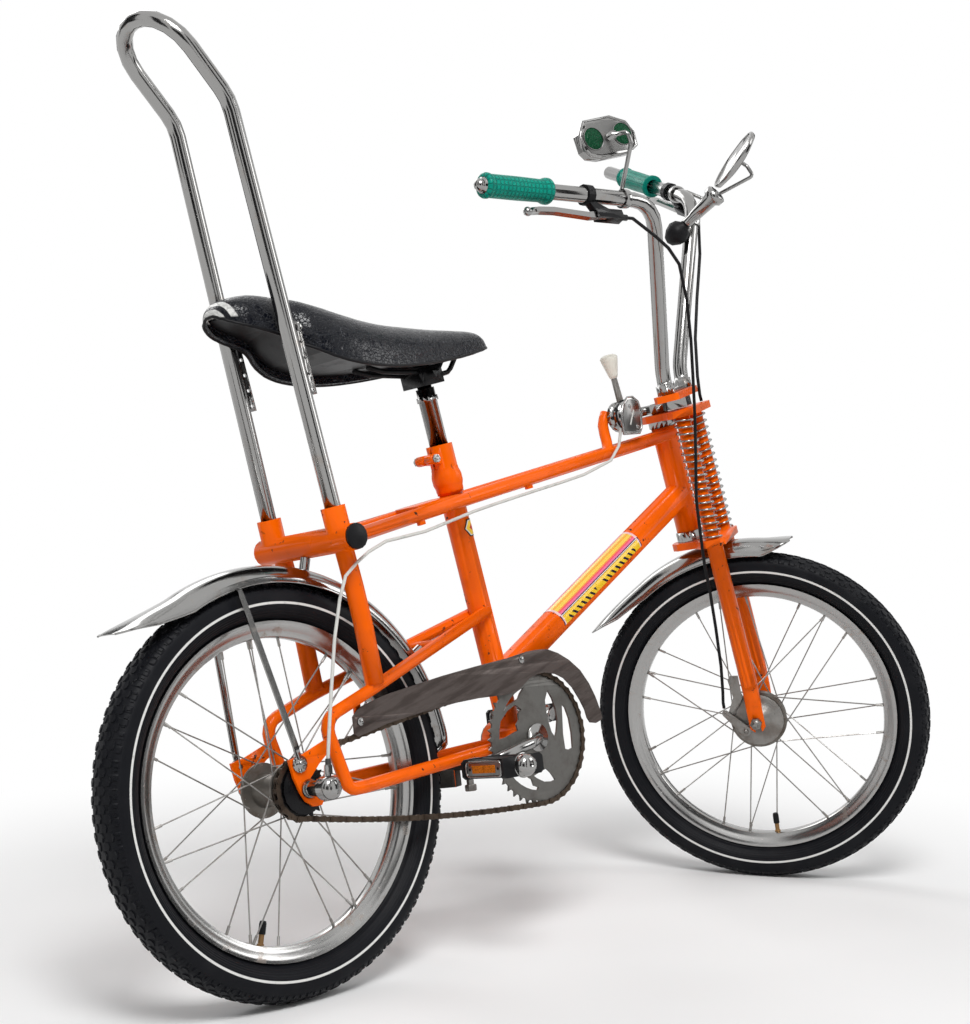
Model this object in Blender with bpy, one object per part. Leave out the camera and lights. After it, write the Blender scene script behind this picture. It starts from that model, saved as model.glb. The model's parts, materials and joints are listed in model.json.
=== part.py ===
"""Chopper bike with high handlebar, long seat and sissy bar, standing on its side stand.

Sizes are millimetres in the bike's own frame: the rear axle's centre is the origin, +X is forward, +Y is left
and +Z is up. Pieces on the fork use the fork frame: u forward, v left and w up along the steering axis, with
w = 0 at the height of the rear axle. The whole bike is then leaned onto its stand, and the ground is Z = 0.
"""
import math

import bpy
import bmesh
from mathutils import Matrix, Vector

MM = 0.001
GAP = 0.3
RUNNING_GAP = 0.6

# Attitude
LEAN = math.radians(9.0)
STEER = math.radians(61.63)
RAKE = math.radians(11.27)
STEER_AXIS_X = 895.86

# Wheels
WHEEL_RADIUS = 256.0
TYRE_HALF_WIDTH = 27.0
TYRE_DEPTH = 48.0
RIM_DEPTH = 21.0
RIM_RADIUS = WHEEL_RADIUS - TYRE_DEPTH
RIM_INNER = RIM_RADIUS - RIM_DEPTH
FENDER_CLEARANCE = 21.0
RIM_HALF_WIDTH = 15.5
SPOKE_COUNT = 28
SPOKE_RADIUS = 1.0
AXLE_RADIUS = 4.75
WHEEL_SEGMENTS = 36
FRONT_WHEEL = (39.75, 0.0, -7.9)

# Frame
TUBE_SIDES = 14
HEAD_RADIUS = 19.5
HEAD_BORE = 16.5
HEAD_LOW = FRONT_WHEEL[2] + WHEEL_RADIUS + FENDER_CLEARANCE + 28.2
HEAD_HIGH = 462.7
STEERER_RADIUS = 12.7
CUP_RADIUS = 22.0
DOWN_RADIUS = 20.0
DOWN_JOINS_HEAD = 358.0
DOWN_JOINS_SEAT_Z = 98.0
SEAT_ANGLE = math.radians(10.61)
SEAT_TUBE_X = 410.8
SEAT_TUBE_RADIUS = 16.5
SLEEVE_RADIUS = 18.5
SLEEVE_LOW = 360.0
SLEEVE_HIGH = 427.0
POST_RADIUS = 13.0
POST_TOP = 505.0
BB_X = 409.0
BB_Z = 16.5
BB_RADIUS = 27.0
BB_BORE = 22.0
BB_HALF = 34.0
CROSS_X = 84.7
CROSS_Z = WHEEL_RADIUS + FENDER_CLEARANCE + 22.2
CROSS_RADIUS = 17.0
CROSS_HALF = 97.0
SOCKET_RADIUS = 16.0
SOCKET_TOP = CROSS_Z + 40.8
TOP_RADIUS = 9.5
STAY_RADIUS = 12.5
LATERAL_RADIUS = 8.5
DROPOUT_INNER = 57.0
BRIDGE_ANGLE = math.radians(30.93)
BRIDGE_FROM_FENDER = 28.44
TUBE_DROP = 3.2
DROPOUT_THICKNESS = 4.0

# Sissy bar
SISSY_RADIUS = 10.4
SISSY_HALF_LOW = 66.6
SISSY_HALF_TOP = 58.4
SISSY_LOW_Z = CROSS_Z + 6.8
SISSY_BEND_Z = 852.0
SISSY_SLOPE = 0.1767
SISSY_LOOP_ANGLE = math.radians(40.1)
SISSY_LOOP_STRAIGHT = 77.7
STRIP_HOLES = (489.0, 509.0, 529.0, 549.0, 567.0)
STRIP_OUT = 15.6
STRIP_THICKNESS = 3.0
STRIP_EDGE = 4.8
SEAT_BOLT_RADIUS = 2.0
SEAT_BOLT_END = 52.3

# Drive
PITCH = 12.7
RING_TEETH = 44
SPROCKET_TEETH = 18
CHAIN_Y = -46.0
RING_THICKNESS = 2.8
CHAIN_INNER = 1.9
CHAIN_OUTER = 3.6
CHAIN_SAG = 8.0
CHAIN_HALF_HEIGHT = 4.1
CHAIN_BACK = 3.3
TOOTH_TIP = 2.3
TOOTH_ROOT = 3.9
CRANK_LENGTH = 140.0
CRANK_ANGLE = math.radians(190.0)
CRANK_AXLE_RADIUS = 9.5
CRANK_ARM_Y = 65.0
PEDAL_INNER = 77.0
PEDAL_OUTER = 160.0
PEDAL_PIN_RADIUS = 4.0
GUARD_Y = -55.0
GUARD_THICKNESS = 1.5

# Fork
LEG_U = 42.7
LEG_V = 53.1
LEG_RADIUS = 12.7
LEG_UPPER_RADIUS = 11.0
LOWER_CROWN_LOW = FRONT_WHEEL[2] + WHEEL_RADIUS + FENDER_CLEARANCE + 1.9
LOWER_CROWN = (LOWER_CROWN_LOW, LOWER_CROWN_LOW + 11.0)
UPPER_CROWN = (473.0, 484.0)
SPRING_RADIUS = 14.2
SPRING_WIRE = 1.7
SPRING_TURNS = 17.5
FENDER_HALF_WIDTH = 31.0
FENDER_THICKNESS = 1.2
REAR_FENDER_RADIUS = WHEEL_RADIUS + FENDER_CLEARANCE
FRONT_FENDER_RADIUS = WHEEL_RADIUS + FENDER_CLEARANCE
BAR_CLAMP = (486.0, 500.0)
BAR_PLATE = (500.6, 511.0)
BAR_PLATE_HALF = 86.0

# Handlebar
BAR_RADIUS = 11.1
BAR_FOOT = (31.4, 70.0, 514.0)
BAR_KINK = (33.0, 71.5, 545.0)
BAR_CORNER = (101.0, 175.0, 791.0)
BAR_END = (-71.0, 426.0, 869.0)
CORNER_LIFT = {-1: -5.0, 1: 7.0}
END_LIFT = {-1: -19.0, 1: 31.0}
GRIP_START = {-1: 2.0, 1: 62.0}
GRIP_LENGTH = 112.0
GRIP_RADIUS = 17.0
LEVER_AT = {-1: 184.0, 1: 236.0}
LEVER_LENGTH = 132.0

# Stand
STAND_PIVOT = (268.0, 41.0, -22.0)
STAND_AXIS = (-0.4472, 0.8944, 0.0)
STAND_LEG = (-0.13, 0.47, -0.873)
STAND_ROD = 6.5
STAND_HUB = 10.0


def vec(point):
    """A point in millimetres as a vector in metres."""
    return Vector(point) * MM


def steer_point(w):
    """The point of the steering axis at height w along it."""
    return (STEER_AXIS_X - math.sin(RAKE) * w, 0.0, math.cos(RAKE) * w)


def seat_tube_x(z):
    return SEAT_TUBE_X - math.tan(SEAT_ANGLE) * z


def bore(radius, sides=TUBE_SIDES, clearance=GAP):
    """Radius of a many-sided hole whose flats clear a round piece of the given radius."""
    return (radius + clearance) / math.cos(math.pi / sides)


def keep(mesh):
    """A working object in the scene for a mesh."""
    obj = bpy.data.objects.new("solid", mesh)
    bpy.context.scene.collection.objects.link(obj)
    return obj


def tidy(mesh):
    """Welds the mesh's doubles and turns its faces out."""
    bm = bmesh.new()
    bm.from_mesh(mesh)
    bmesh.ops.remove_doubles(bm, verts=bm.verts, dist=1e-6)
    bmesh.ops.recalc_face_normals(bm, faces=bm.faces)
    bm.to_mesh(mesh)
    bm.free()
    return mesh


def evaluated_mesh(obj):
    """The mesh of an object after its curve shape or modifiers; the object is removed."""
    graph = bpy.context.evaluated_depsgraph_get()
    graph.update()
    mesh = bpy.data.meshes.new_from_object(obj.evaluated_get(graph))
    bpy.data.objects.remove(obj)
    return mesh


def from_curve(curve):
    return keep(tidy(evaluated_mesh(keep(curve))))


def tube(path, radius, resolution=6, cyclic=False):
    """A round bar along a path; its number of sides is 4 + 2 x resolution."""
    curve = bpy.data.curves.new("tube", "CURVE")
    curve.dimensions = "3D"
    curve.bevel_depth = radius * MM
    curve.bevel_resolution = resolution
    curve.use_fill_caps = not cyclic
    spline = curve.splines.new("POLY")
    spline.points.add(len(path) - 1)
    for point, at in zip(spline.points, path):
        point.co = (*vec(at), 1.0)
    spline.use_cyclic_u = cyclic
    return from_curve(curve)


def cylinder(start, end, radius, sides=TUBE_SIDES, end_radius=None):
    """A cylinder or cone between two points."""
    bm = bmesh.new()
    a, b = vec(start), vec(end)
    axis = b - a
    turn = axis.to_track_quat("Z", "Y").to_matrix().to_4x4()
    second = radius if end_radius is None else end_radius
    bmesh.ops.create_cone(bm, cap_ends=True, segments=sides, radius1=radius * MM, radius2=second * MM,
                          depth=axis.length, matrix=Matrix.Translation((a + b) / 2) @ turn)
    mesh = bpy.data.meshes.new("cylinder")
    bm.to_mesh(mesh)
    bm.free()
    return keep(mesh)


def block(size, centre, turn=None):
    """A box of the given size about a centre."""
    bm = bmesh.new()
    matrix = Matrix.Translation(vec(centre)) @ (turn.to_4x4() if turn else Matrix.Identity(4))
    bmesh.ops.create_cube(bm, size=1.0, matrix=matrix @ Matrix.Diagonal((*vec(size), 1.0)))
    mesh = bpy.data.meshes.new("block")
    bm.to_mesh(mesh)
    bm.free()
    return keep(mesh)


def ball(centre, radius, rings=8):
    bm = bmesh.new()
    bmesh.ops.create_uvsphere(bm, u_segments=2 * rings, v_segments=rings, radius=radius * MM,
                              matrix=Matrix.Translation(vec(centre)))
    mesh = bpy.data.meshes.new("ball")
    bm.to_mesh(mesh)
    bm.free()
    return keep(mesh)


def turned(profile, segments=TUBE_SIDES, origin=(0, 0, 0), axis=(0, 1, 0), ring=False):
    """A turned piece from (radius, height) points along an axis; a ring's profile closes on itself."""
    bm = bmesh.new()
    verts = [bm.verts.new(vec((radius, 0, height))) for radius, height in profile]
    pairs = list(zip(verts, verts[1:]))
    if ring:
        pairs.append((verts[-1], verts[0]))
    edges = [bm.edges.new(pair) for pair in pairs]
    bmesh.ops.spin(bm, geom=verts + edges, cent=(0, 0, 0), axis=(0, 0, 1), angle=2 * math.pi, steps=segments,
                   use_merge=True)
    bmesh.ops.remove_doubles(bm, verts=bm.verts, dist=1e-6)
    bmesh.ops.recalc_face_normals(bm, faces=bm.faces)
    turn = Vector(axis).to_track_quat("Z", "X").to_matrix().to_4x4()
    bmesh.ops.transform(bm, matrix=Matrix.Translation(vec(origin)) @ turn, verts=bm.verts)
    mesh = bpy.data.meshes.new("turned")
    bm.to_mesh(mesh)
    bm.free()
    return keep(mesh)


def loft(sections, closed=False):
    """A skin over sections of equal point counts, capped at both ends unless it closes on itself."""
    count = len(sections[0])
    verts = [vec(point) for section in sections for point in section]
    faces = []
    spans = len(sections) if closed else len(sections) - 1
    for i in range(spans):
        a, b = i * count, (i + 1) % len(sections) * count
        for j in range(count):
            k = (j + 1) % count
            faces.append((a + j, a + k, b + k, b + j))
    if not closed:
        faces.append(tuple(reversed(range(count))))
        faces.append(tuple(range((len(sections) - 1) * count, len(sections) * count)))
    mesh = bpy.data.meshes.new("loft")
    mesh.from_pydata(verts, [], faces)
    return keep(tidy(mesh))


# A flat plate's outline lies in its own XY plane; these turn that plane to face along the bike's Y axis,
# or leave it across the steering axis
SIDEWAYS = Matrix(((1, 0, 0, 0), (0, 0, -1, 0), (0, 1, 0, 0), (0, 0, 0, 1)))
ACROSS = Matrix.Identity(4)


def plate(outline, thickness, centre, plane=SIDEWAYS, holes=()):
    """A flat plate with holes; outline and holes are point lists, centre places the middle of its thickness."""
    curve = bpy.data.curves.new("plate", "CURVE")
    curve.dimensions = "2D"
    curve.fill_mode = "BOTH"
    curve.extrude = thickness * MM / 2
    for points in (outline, *holes):
        spline = curve.splines.new("POLY")
        spline.points.add(len(points) - 1)
        for point, at in zip(spline.points, points):
            point.co = (at[0] * MM, at[1] * MM, 0.0, 1.0)
        spline.use_cyclic_u = True
    obj = from_curve(curve)
    obj.data.transform(Matrix.Translation(vec(centre)) @ plane)
    obj.data.update()
    return obj


def circle(centre, radius, sides=12, start=0.0, stop=360.0):
    """Points of a circle, or of an arc that includes both its ends."""
    full = stop - start >= 360.0
    steps = sides if full else sides + 1
    turn = (stop - start) / sides
    angles = [math.radians(start + turn * i) for i in range(steps)]
    return [(centre[0] + radius * math.cos(a), centre[1] + radius * math.sin(a)) for a in angles]


def boolean(base, others, operation):
    """Applies one exact Boolean of several solids to a base and removes them."""
    group = bpy.data.collections.new("operands")
    for other in others:
        group.objects.link(other)
    change = base.modifiers.new("boolean", "BOOLEAN")
    change.operation = operation
    change.solver = "EXACT"
    change.operand_type = "COLLECTION"
    change.collection = group
    mesh = evaluated_mesh(base)
    for other in others:
        bpy.data.objects.remove(other)
    bpy.data.collections.remove(group)
    return keep(mesh)


def join(*parts):
    return boolean(parts[0], parts[1:], "UNION")


def cut(base, *cutters):
    return boolean(base, cutters, "DIFFERENCE")


def rounded(points, radii, step=15.0):
    """A path through points whose corners are replaced by arcs; radii has one value for each corner."""
    pts = [Vector(p) for p in points]
    path = [pts[0]]
    for i in range(1, len(pts) - 1):
        before = (pts[i - 1] - pts[i]).normalized()
        after = (pts[i + 1] - pts[i]).normalized()
        half = before.angle(after) / 2
        radius = radii[i - 1]
        reach = radius / math.tan(half)
        middle = pts[i] + (before + after).normalized() * (radius / math.sin(half))
        start = pts[i] + before * reach - middle
        stop = pts[i] + after * reach - middle
        swing = start.angle(stop)
        count = max(2, round(math.degrees(swing) / step))
        for k in range(count + 1):
            share = k / count
            path.append(middle + (start * math.sin((1 - share) * swing) + stop * math.sin(share * swing))
                        / math.sin(swing))
    path.append(pts[-1])
    return [tuple(p) for p in path]


def smooth(points, spacing):
    """Points at about the given spacing on a Catmull-Rom curve through the route's own points."""
    pts = [Vector(p) for p in points]
    ends = [2 * pts[0] - pts[1]] + pts + [2 * pts[-1] - pts[-2]]
    path = []
    for i in range(1, len(ends) - 2):
        p0, p1, p2, p3 = ends[i - 1:i + 3]
        count = max(1, round((p2 - p1).length / spacing))
        for k in range(count):
            t = k / count
            path.append(0.5 * (2 * p1 + (p2 - p0) * t + (2 * p0 - 5 * p1 + 4 * p2 - p3) * t ** 2
                               + (3 * p1 - p0 - 3 * p2 + p3) * t ** 3))
    path.append(pts[-1])
    return [tuple(p) for p in path]


def mirrored(obj):
    """The solid's mirror image across the plane Y = 0."""
    copy = keep(obj.data.copy())
    copy.data.transform(Matrix.Diagonal((1, -1, 1, 1)))
    tidy(copy.data)
    return copy


def both(maker):
    """A solid made for the right side, with its mirror image."""
    right = maker()
    return [right, mirrored(right)]


def paint(name, colour, roughness=0.4, metallic=0.0):
    material = bpy.data.materials.new(name)
    material.use_nodes = True
    surface = material.node_tree.nodes["Principled BSDF"]
    surface.inputs["Base Color"].default_value = (*colour, 1.0)
    surface.inputs["Roughness"].default_value = roughness
    surface.inputs["Metallic"].default_value = metallic
    material.diffuse_color = (*colour, 1.0)
    return material


LOOKS = {
    "orange": ((0.80, 0.12, 0.01), 0.25, 0.0),
    "chrome": ((0.80, 0.80, 0.80), 0.12, 1.0),
    "steel": ((0.45, 0.44, 0.42), 0.35, 1.0),
    "rust": ((0.16, 0.12, 0.09), 0.55, 0.8),
    "rubber": ((0.015, 0.015, 0.017), 0.7, 0.0),
    "vinyl": ((0.012, 0.013, 0.016), 0.35, 0.0),
    "black": ((0.01, 0.01, 0.01), 0.4, 0.0),
    "teal": ((0.0, 0.26, 0.20), 0.4, 0.0),
    "cream": ((0.75, 0.72, 0.62), 0.35, 0.0),
    "white": ((0.60, 0.60, 0.58), 0.4, 0.0),
}


def node(name, solid, look, parent):
    """Names a finished solid, gives it its own material and hangs it on its parent empty."""
    solid.name = name
    solid.data.name = name
    solid.data.materials.clear()
    solid.data.materials.append(paint(name, *LOOKS[look]))
    solid.data.shade_smooth()
    solid.data.set_sharp_from_angle(angle=math.radians(35))
    solid.parent = parent
    return solid


def empty(name, parent=None, matrix=None):
    obj = bpy.data.objects.new(name, None)
    bpy.context.scene.collection.objects.link(obj)
    obj.parent = parent
    obj.matrix_local = matrix if matrix else Matrix.Identity(4)
    return obj


def frame_at(origin, z_axis, x_hint):
    """A frame whose Z is the given direction and whose X leans towards the hint."""
    z = Vector(z_axis).normalized()
    x = Vector(x_hint)
    x = (x - z * x.dot(z)).normalized()
    turn = Matrix((x, z.cross(x), z)).transposed().to_4x4()
    return Matrix.Translation(vec(origin)) @ turn


# Main frame


def head_cylinder(radius, low, high, sides=20):
    return cylinder(steer_point(low), steer_point(high), radius, sides)


def seat_cylinder(radius, low, high, sides=TUBE_SIDES):
    return cylinder((seat_tube_x(low), 0, low), (seat_tube_x(high), 0, high), radius, sides)


def down_tube():
    top = Vector(steer_point(DOWN_JOINS_HEAD))
    low = Vector((seat_tube_x(DOWN_JOINS_SEAT_Z), 0, DOWN_JOINS_SEAT_Z))
    run = (low - top).normalized()
    return cylinder(top + run * 3, low - run * 8, DOWN_RADIUS, 16)


def top_tube():
    path = rounded([(CROSS_X, -60, CROSS_Z - TUBE_DROP), (345, -26, 348.5), (808, -14, 441)], [500], 4)
    return tube(path, TOP_RADIUS, 3)


def lateral():
    """The hairpin tube of one side: from the seat tube back, round behind the stay and forward to the shell."""
    path = rounded([(373, -14, 195), (120, -60, 111), (34, -60, 79), (62.5, -60, -9.5), (90, -60, -8.5),
                    (BB_X, -20.5, 14)], [120, 22, 14, 40], 24)
    return tube(path, LATERAL_RADIUS, 2)


def seat_stay():
    return tube([(91, -62.5, CROSS_Z - TUBE_DROP), (103, -62, 240), (112, -61.5, 190), (121, -61, 116)], STAY_RADIUS, 3)


def dropout():
    slot = circle((0, 0), AXLE_RADIUS + 0.55, 4, 315, 135)
    outline = [(-25, 37), (-2, 42), (36, 56), (44, 58), (46, 42), (31, 36), (20, 27.5), *reversed(slot),
               (17.15, 9.65), (27, 8), (26, -10), (18, -22), (5, -22), (-5, -15), (-12, -4), (-20, 15)]
    middle = DROPOUT_INNER + DROPOUT_THICKNESS / 2
    return plate(outline, DROPOUT_THICKNESS, (0, -middle, 0), holes=[circle(STAY_BOLT, bore(3.0, 10), 10)])


STAY_BOLT = (-10.4, 31.0)


def sissy_point(z, half=0.0):
    """A point of the sissy bar's straight leg at height z, on the right side unless half is given."""
    share = (z - SISSY_LOW_Z) / (SISSY_BEND_Z - SISSY_LOW_Z)
    side = half or -(SISSY_HALF_LOW + (SISSY_HALF_TOP - SISSY_HALF_LOW) * share)
    return (78.0 - (z - 345.0) * SISSY_SLOPE, side, z)


def bridge_bar():
    """The thin bar between the hairpin tubes that holds the rear fender's stub."""
    reach = REAR_FENDER_RADIUS + BRIDGE_FROM_FENDER
    x, z = reach * math.cos(BRIDGE_ANGLE), reach * math.sin(BRIDGE_ANGLE)
    return cylinder((x, -33, z), (x, 33, z), 6, 12)


def socket():
    return cylinder(sissy_point(CROSS_Z), sissy_point(SOCKET_TOP), SOCKET_RADIUS)


def socket_bore():
    return cylinder(sissy_point(SISSY_LOW_Z - GAP), sissy_point(SOCKET_TOP + 10), bore(SISSY_RADIUS))


def stand_point(along, drop=0.0):
    """A point on the stand's axis, at a distance from the pivot towards the outside."""
    p, a = Vector(STAND_PIVOT), Vector(STAND_AXIS)
    return tuple(p + a * along - Vector((0, 0, drop)))


def stand_casting():
    """The block under the laterals that carries the stand's pivot, with its pin."""
    turn = frame_at((0, 0, 0), (0, 0, 1), (STAND_AXIS[1], -STAND_AXIS[0], 0)).to_3x3()
    body = block((22, 48, 22), stand_point(-30.6), turn)
    riser = block((34, 60, 16), (300, 0, -4))
    pin = cylinder(stand_point(-20), stand_point(9), 4.0, 12)
    return [body, riser, pin]


CLAMP_BOLT = (306.0, 0.0, 406.0)


def main_frame():
    parts = [
        down_tube(),
        seat_cylinder(SEAT_TUBE_RADIUS, BB_Z, SLEEVE_LOW + 10),
        seat_cylinder(SLEEVE_RADIUS, SLEEVE_LOW, SLEEVE_HIGH),
        seat_cylinder(SLEEVE_RADIUS + 2, 375, 385),
        cylinder((BB_X, -BB_HALF, BB_Z), (BB_X, BB_HALF, BB_Z), BB_RADIUS, 20),
        turned([(0, -CROSS_HALF), (CROSS_RADIUS, -CROSS_HALF), (CROSS_RADIUS, CROSS_HALF - 7),
                (CROSS_RADIUS - 5, CROSS_HALF), (0, CROSS_HALF + 2)], 16, (CROSS_X, 0, CROSS_Z)),
        plate([(332, -29), (282, -37), (268, -33), (261, -20), (261, 20), (268, 33), (282, 37), (332, 29)], 4,
              (0, 0, 0), Matrix.Translation(vec((6, 0, 288.5))) @ Matrix.Rotation(-math.radians(11.35), 4, "Y")),
        bridge_bar(),
        cylinder((CLAMP_BOLT[0], -17, CLAMP_BOLT[2]), (CLAMP_BOLT[0], 17, CLAMP_BOLT[2]), 7, 12),
        block((20, 24, 12), (CLAMP_BOLT[0] + 10, 0, CLAMP_BOLT[2])),
        tube(smooth([(653, -17, 404), (656, -14, 428), (667, -0.2, 455), (676, -0.2, 474)], 14), 8, 3),
        block((12, 40, 6), (387, -34, 124)),
        block((10, 3.2, 38), (95, -52.4, 82)),
        *stand_casting(),
        *both(top_tube), *both(lateral), *both(seat_stay), *both(dropout), *both(socket),
    ]
    body = join(head_cylinder(HEAD_RADIUS, HEAD_LOW, HEAD_HIGH), *parts)
    slot_z = (SLEEVE_HIGH + CLAMP_BOLT[2] - 12) / 2
    return cut(
        body,
        head_cylinder(bore(HEAD_BORE - GAP, 18), HEAD_LOW - 5, HEAD_HIGH + 5, 18),
        seat_cylinder(bore(POST_RADIUS), 250, SLEEVE_HIGH + 20),
        block((36, 3, SLEEVE_HIGH + 14 - CLAMP_BOLT[2]), (CLAMP_BOLT[0] + 6, 0, slot_z + 4)),
        cylinder((CLAMP_BOLT[0], -30, CLAMP_BOLT[2]), (CLAMP_BOLT[0], 30, CLAMP_BOLT[2]), bore(3.0, 8), 8),
        cylinder((BB_X, -BB_HALF - 5, BB_Z), (BB_X, BB_HALF + 5, BB_Z), bore(BB_BORE - GAP), 16),
        cylinder((CROSS_X, -CROSS_HALF - 5, CROSS_Z), (CROSS_X, -CROSS_HALF + 12, CROSS_Z), bore(12.0), 16),
        *both(socket_bore),
    )


def headset_cup(shank, seat, face):
    """A bearing ring outside the head tube with its shank inside it, between three heights on the axis."""
    inner = STEERER_RADIUS + RUNNING_GAP
    profile = [(inner, shank), (HEAD_BORE - GAP, shank), (HEAD_BORE - GAP, seat), (CUP_RADIUS, seat),
               (CUP_RADIUS, face), (inner, face)]
    return turned(profile, 18, (0, 0, 0), (0, 0, 1), ring=True)


def bottom_bracket_cup(side):
    face = BB_HALF + GAP
    profile = [(CRANK_AXLE_RADIUS + RUNNING_GAP, face + 4), (25, face + 4), (25, face), (BB_BORE - GAP, face),
               (BB_BORE - GAP, face - 12), (CRANK_AXLE_RADIUS + RUNNING_GAP, face - 12)]
    return turned(profile, 16, (BB_X, 0, BB_Z), (0, side, 0), ring=True)


def hex_points(centre, radius):
    return circle(centre, radius, 6)


def pinch_bolt():
    shaft = cylinder((CLAMP_BOLT[0], -22.5, CLAMP_BOLT[2]), (CLAMP_BOLT[0], 22.5, CLAMP_BOLT[2]), 3.0, 8)
    heads = [plate(hex_points((CLAMP_BOLT[0], CLAMP_BOLT[2]), 6), 4, (0, side * (17 + GAP + 2), 0))
             for side in (-1, 1)]
    return join(shaft, *heads)


def seat_post():
    top = (seat_tube_x(POST_TOP), 0, POST_TOP)
    neck = (seat_tube_x(POST_TOP + 32), 0, POST_TOP + 32)
    low = (seat_tube_x(262), 0, 262)
    return join(cylinder(low, top, POST_RADIUS), cylinder((seat_tube_x(500), 0, 500), neck, 10.0),
                seat_cylinder(POST_RADIUS + 2, 487, 494))


# Seat: station x, half width, lower edge z, top z
SEAT_STATIONS = [
    (-31, 8, 588, 594), (-27, 20, 583, 601), (-17, 31, 577, 609), (-3, 40, 572, 613.5), (15, 45, 567, 616.5),
    (35, 47, 562, 616.5), (52, 48, 556, 615), (64, 54, 549, 614), (80, 66, 541, 612), (105, 75, 530, 606),
    (135, 78, 523, 598.5), (175, 77, 520, 590), (215, 72, 521, 585.5), (260, 64, 526, 584), (310, 53, 534, 583.5),
    (355, 43, 543, 584.5), (395, 32, 553, 585), (413, 25, 558, 582), (425, 17, 562, 575), (434, 8, 564, 568),
]
SEAT_EDGE = 9.0
PAN_RISE = 13.0
PAN_THICKNESS = 2.0
RAIL_Z = 524.0
RAIL_Y = 14.0
RAIL_RADIUS = 3.5


def seat_cushion():
    """The padded top: domed above, with a rim that hangs round the recess for the pan."""
    sections = []
    for x, half, low, top in SEAT_STATIONS:
        inner = max(half - SEAT_EDGE, half * 0.4)
        tall = top - low
        roof = low + min(PAN_RISE, tall * 0.4)
        right = [(-inner, roof), (-inner, low), (-(inner + half) / 2, low), (-half, low + tall * 0.26),
                 (-half * 0.93, low + tall * 0.62), (-half * 0.62, top - tall * 0.13)]
        left = [(-y, z) for y, z in reversed(right)]
        sections.append([(x, y, z) for y, z in right + [(0, top)] + left])
    return loft(sections)


def seat_pan():
    """The steel pan in the cushion's recess, with the two rails that the saddle clamp grips."""
    sections = []
    for x, half, low, top in SEAT_STATIONS[2:-2]:
        inner = max(half - SEAT_EDGE, half * 0.4) - GAP * 2
        roof = low + min(PAN_RISE, (top - low) * 0.4) - GAP * 2
        sections.append([(x, -inner, roof - PAN_THICKNESS), (x, inner, roof - PAN_THICKNESS), (x, inner, roof),
                         (x, -inner, roof)])
    rails = [tube(rounded([(205, side * RAIL_Y, 529), (232, side * RAIL_Y, RAIL_Z), (350, side * RAIL_Y, RAIL_Z),
                           (372, side * RAIL_Y, 556)], [30, 18], 30), RAIL_RADIUS, 2) for side in (-1, 1)]
    return join(loft(sections), *rails)


def saddle_clamp():
    x = seat_tube_x(POST_TOP + 16)
    turn = Matrix.Rotation(-SEAT_ANGLE, 3, "Y")
    body = block((38, 44, 26), (x, 0, 521), turn)
    bolt = cylinder((x - 2, -31, 521), (x - 2, 31, 521), 6.5, 12)
    grooves = [cylinder((200, side * RAIL_Y, RAIL_Z), (380, side * RAIL_Y, RAIL_Z), bore(RAIL_RADIUS, 8), 8)
               for side in (-1, 1)]
    top = (seat_tube_x(POST_TOP - 10), 0, POST_TOP - 10)
    end = (seat_tube_x(POST_TOP + 32 + GAP), 0, POST_TOP + 32 + GAP)
    return cut(join(body, bolt), *grooves, cylinder(top, end, bore(10.0)))


def sissy_bar():
    bend = Vector(sissy_point(SISSY_BEND_Z))
    up = Vector((-math.sin(SISSY_LOOP_ANGLE), 0, math.cos(SISSY_LOOP_ANGLE)))
    right = rounded([sissy_point(SISSY_LOW_Z), bend, bend + up * SISSY_LOOP_STRAIGHT], [60], 14)
    middle = bend + up * SISSY_LOOP_STRAIGHT
    middle.y = 0
    loop = []
    for i in range(1, 10):
        a = math.radians(-90 + 18 * i)
        loop.append(tuple(middle + up * (SISSY_HALF_TOP * math.cos(a)) + Vector((0, SISSY_HALF_TOP * math.sin(a), 0))))
    left = [(x, -y, z) for x, y, z in reversed(right)]
    bar = tube(right + loop + left, SISSY_RADIUS, 4)
    strips = []
    for side in (-1, 1):
        low, high = Vector(sissy_point(STRIP_HOLES[0] - 9)), Vector(sissy_point(STRIP_HOLES[-1] + 9))
        outer = STRIP_OUT + STRIP_EDGE
        outline = [(low.x + 6, low.z), (low.x + outer, low.z + 3), (high.x + outer, high.z - 3), (high.x + 6, high.z)]
        holes = [circle((sissy_point(z)[0] + STRIP_OUT, z), bore(SEAT_BOLT_RADIUS, 8), 8) for z in STRIP_HOLES]
        strips.append(plate(outline, STRIP_THICKNESS, (0, side * STRIP_Y, 0), holes=holes))
    return join(bar, *strips)


STRIP_Y = -sissy_point(530.0)[1]


def seat_bolt(side):
    """The bolt through the top hole of one strip into the side of the seat."""
    x, z = sissy_point(STRIP_HOLES[-1])[0] + STRIP_OUT, STRIP_HOLES[-1]
    face = STRIP_Y + STRIP_THICKNESS / 2 + GAP
    inner = STRIP_Y - STRIP_THICKNESS / 2 - GAP
    shaft = cylinder((x, side * (face + 2), z), (x, side * (SEAT_BOLT_END + 2), z), SEAT_BOLT_RADIUS, 8)
    head = turned([(0, face), (4.8, face), (4.8, face + 3), (0, face + 5)], 10, (x, 0, z), (0, side, 0))
    collar = cylinder((x, side * SEAT_BOLT_END, z), (x, side * inner, z), 4.5, 10)
    return join(shaft, head, collar)


def tube_plug():
    face = CROSS_HALF + GAP
    return turned([(0, face + 5), (13, face + 5), (16.5, face + 3.5), (16.5, face), (12, face), (12, face - 11),
                   (0, face - 11)], 16, (CROSS_X, 0, CROSS_Z), (0, -1, 0))


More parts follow.
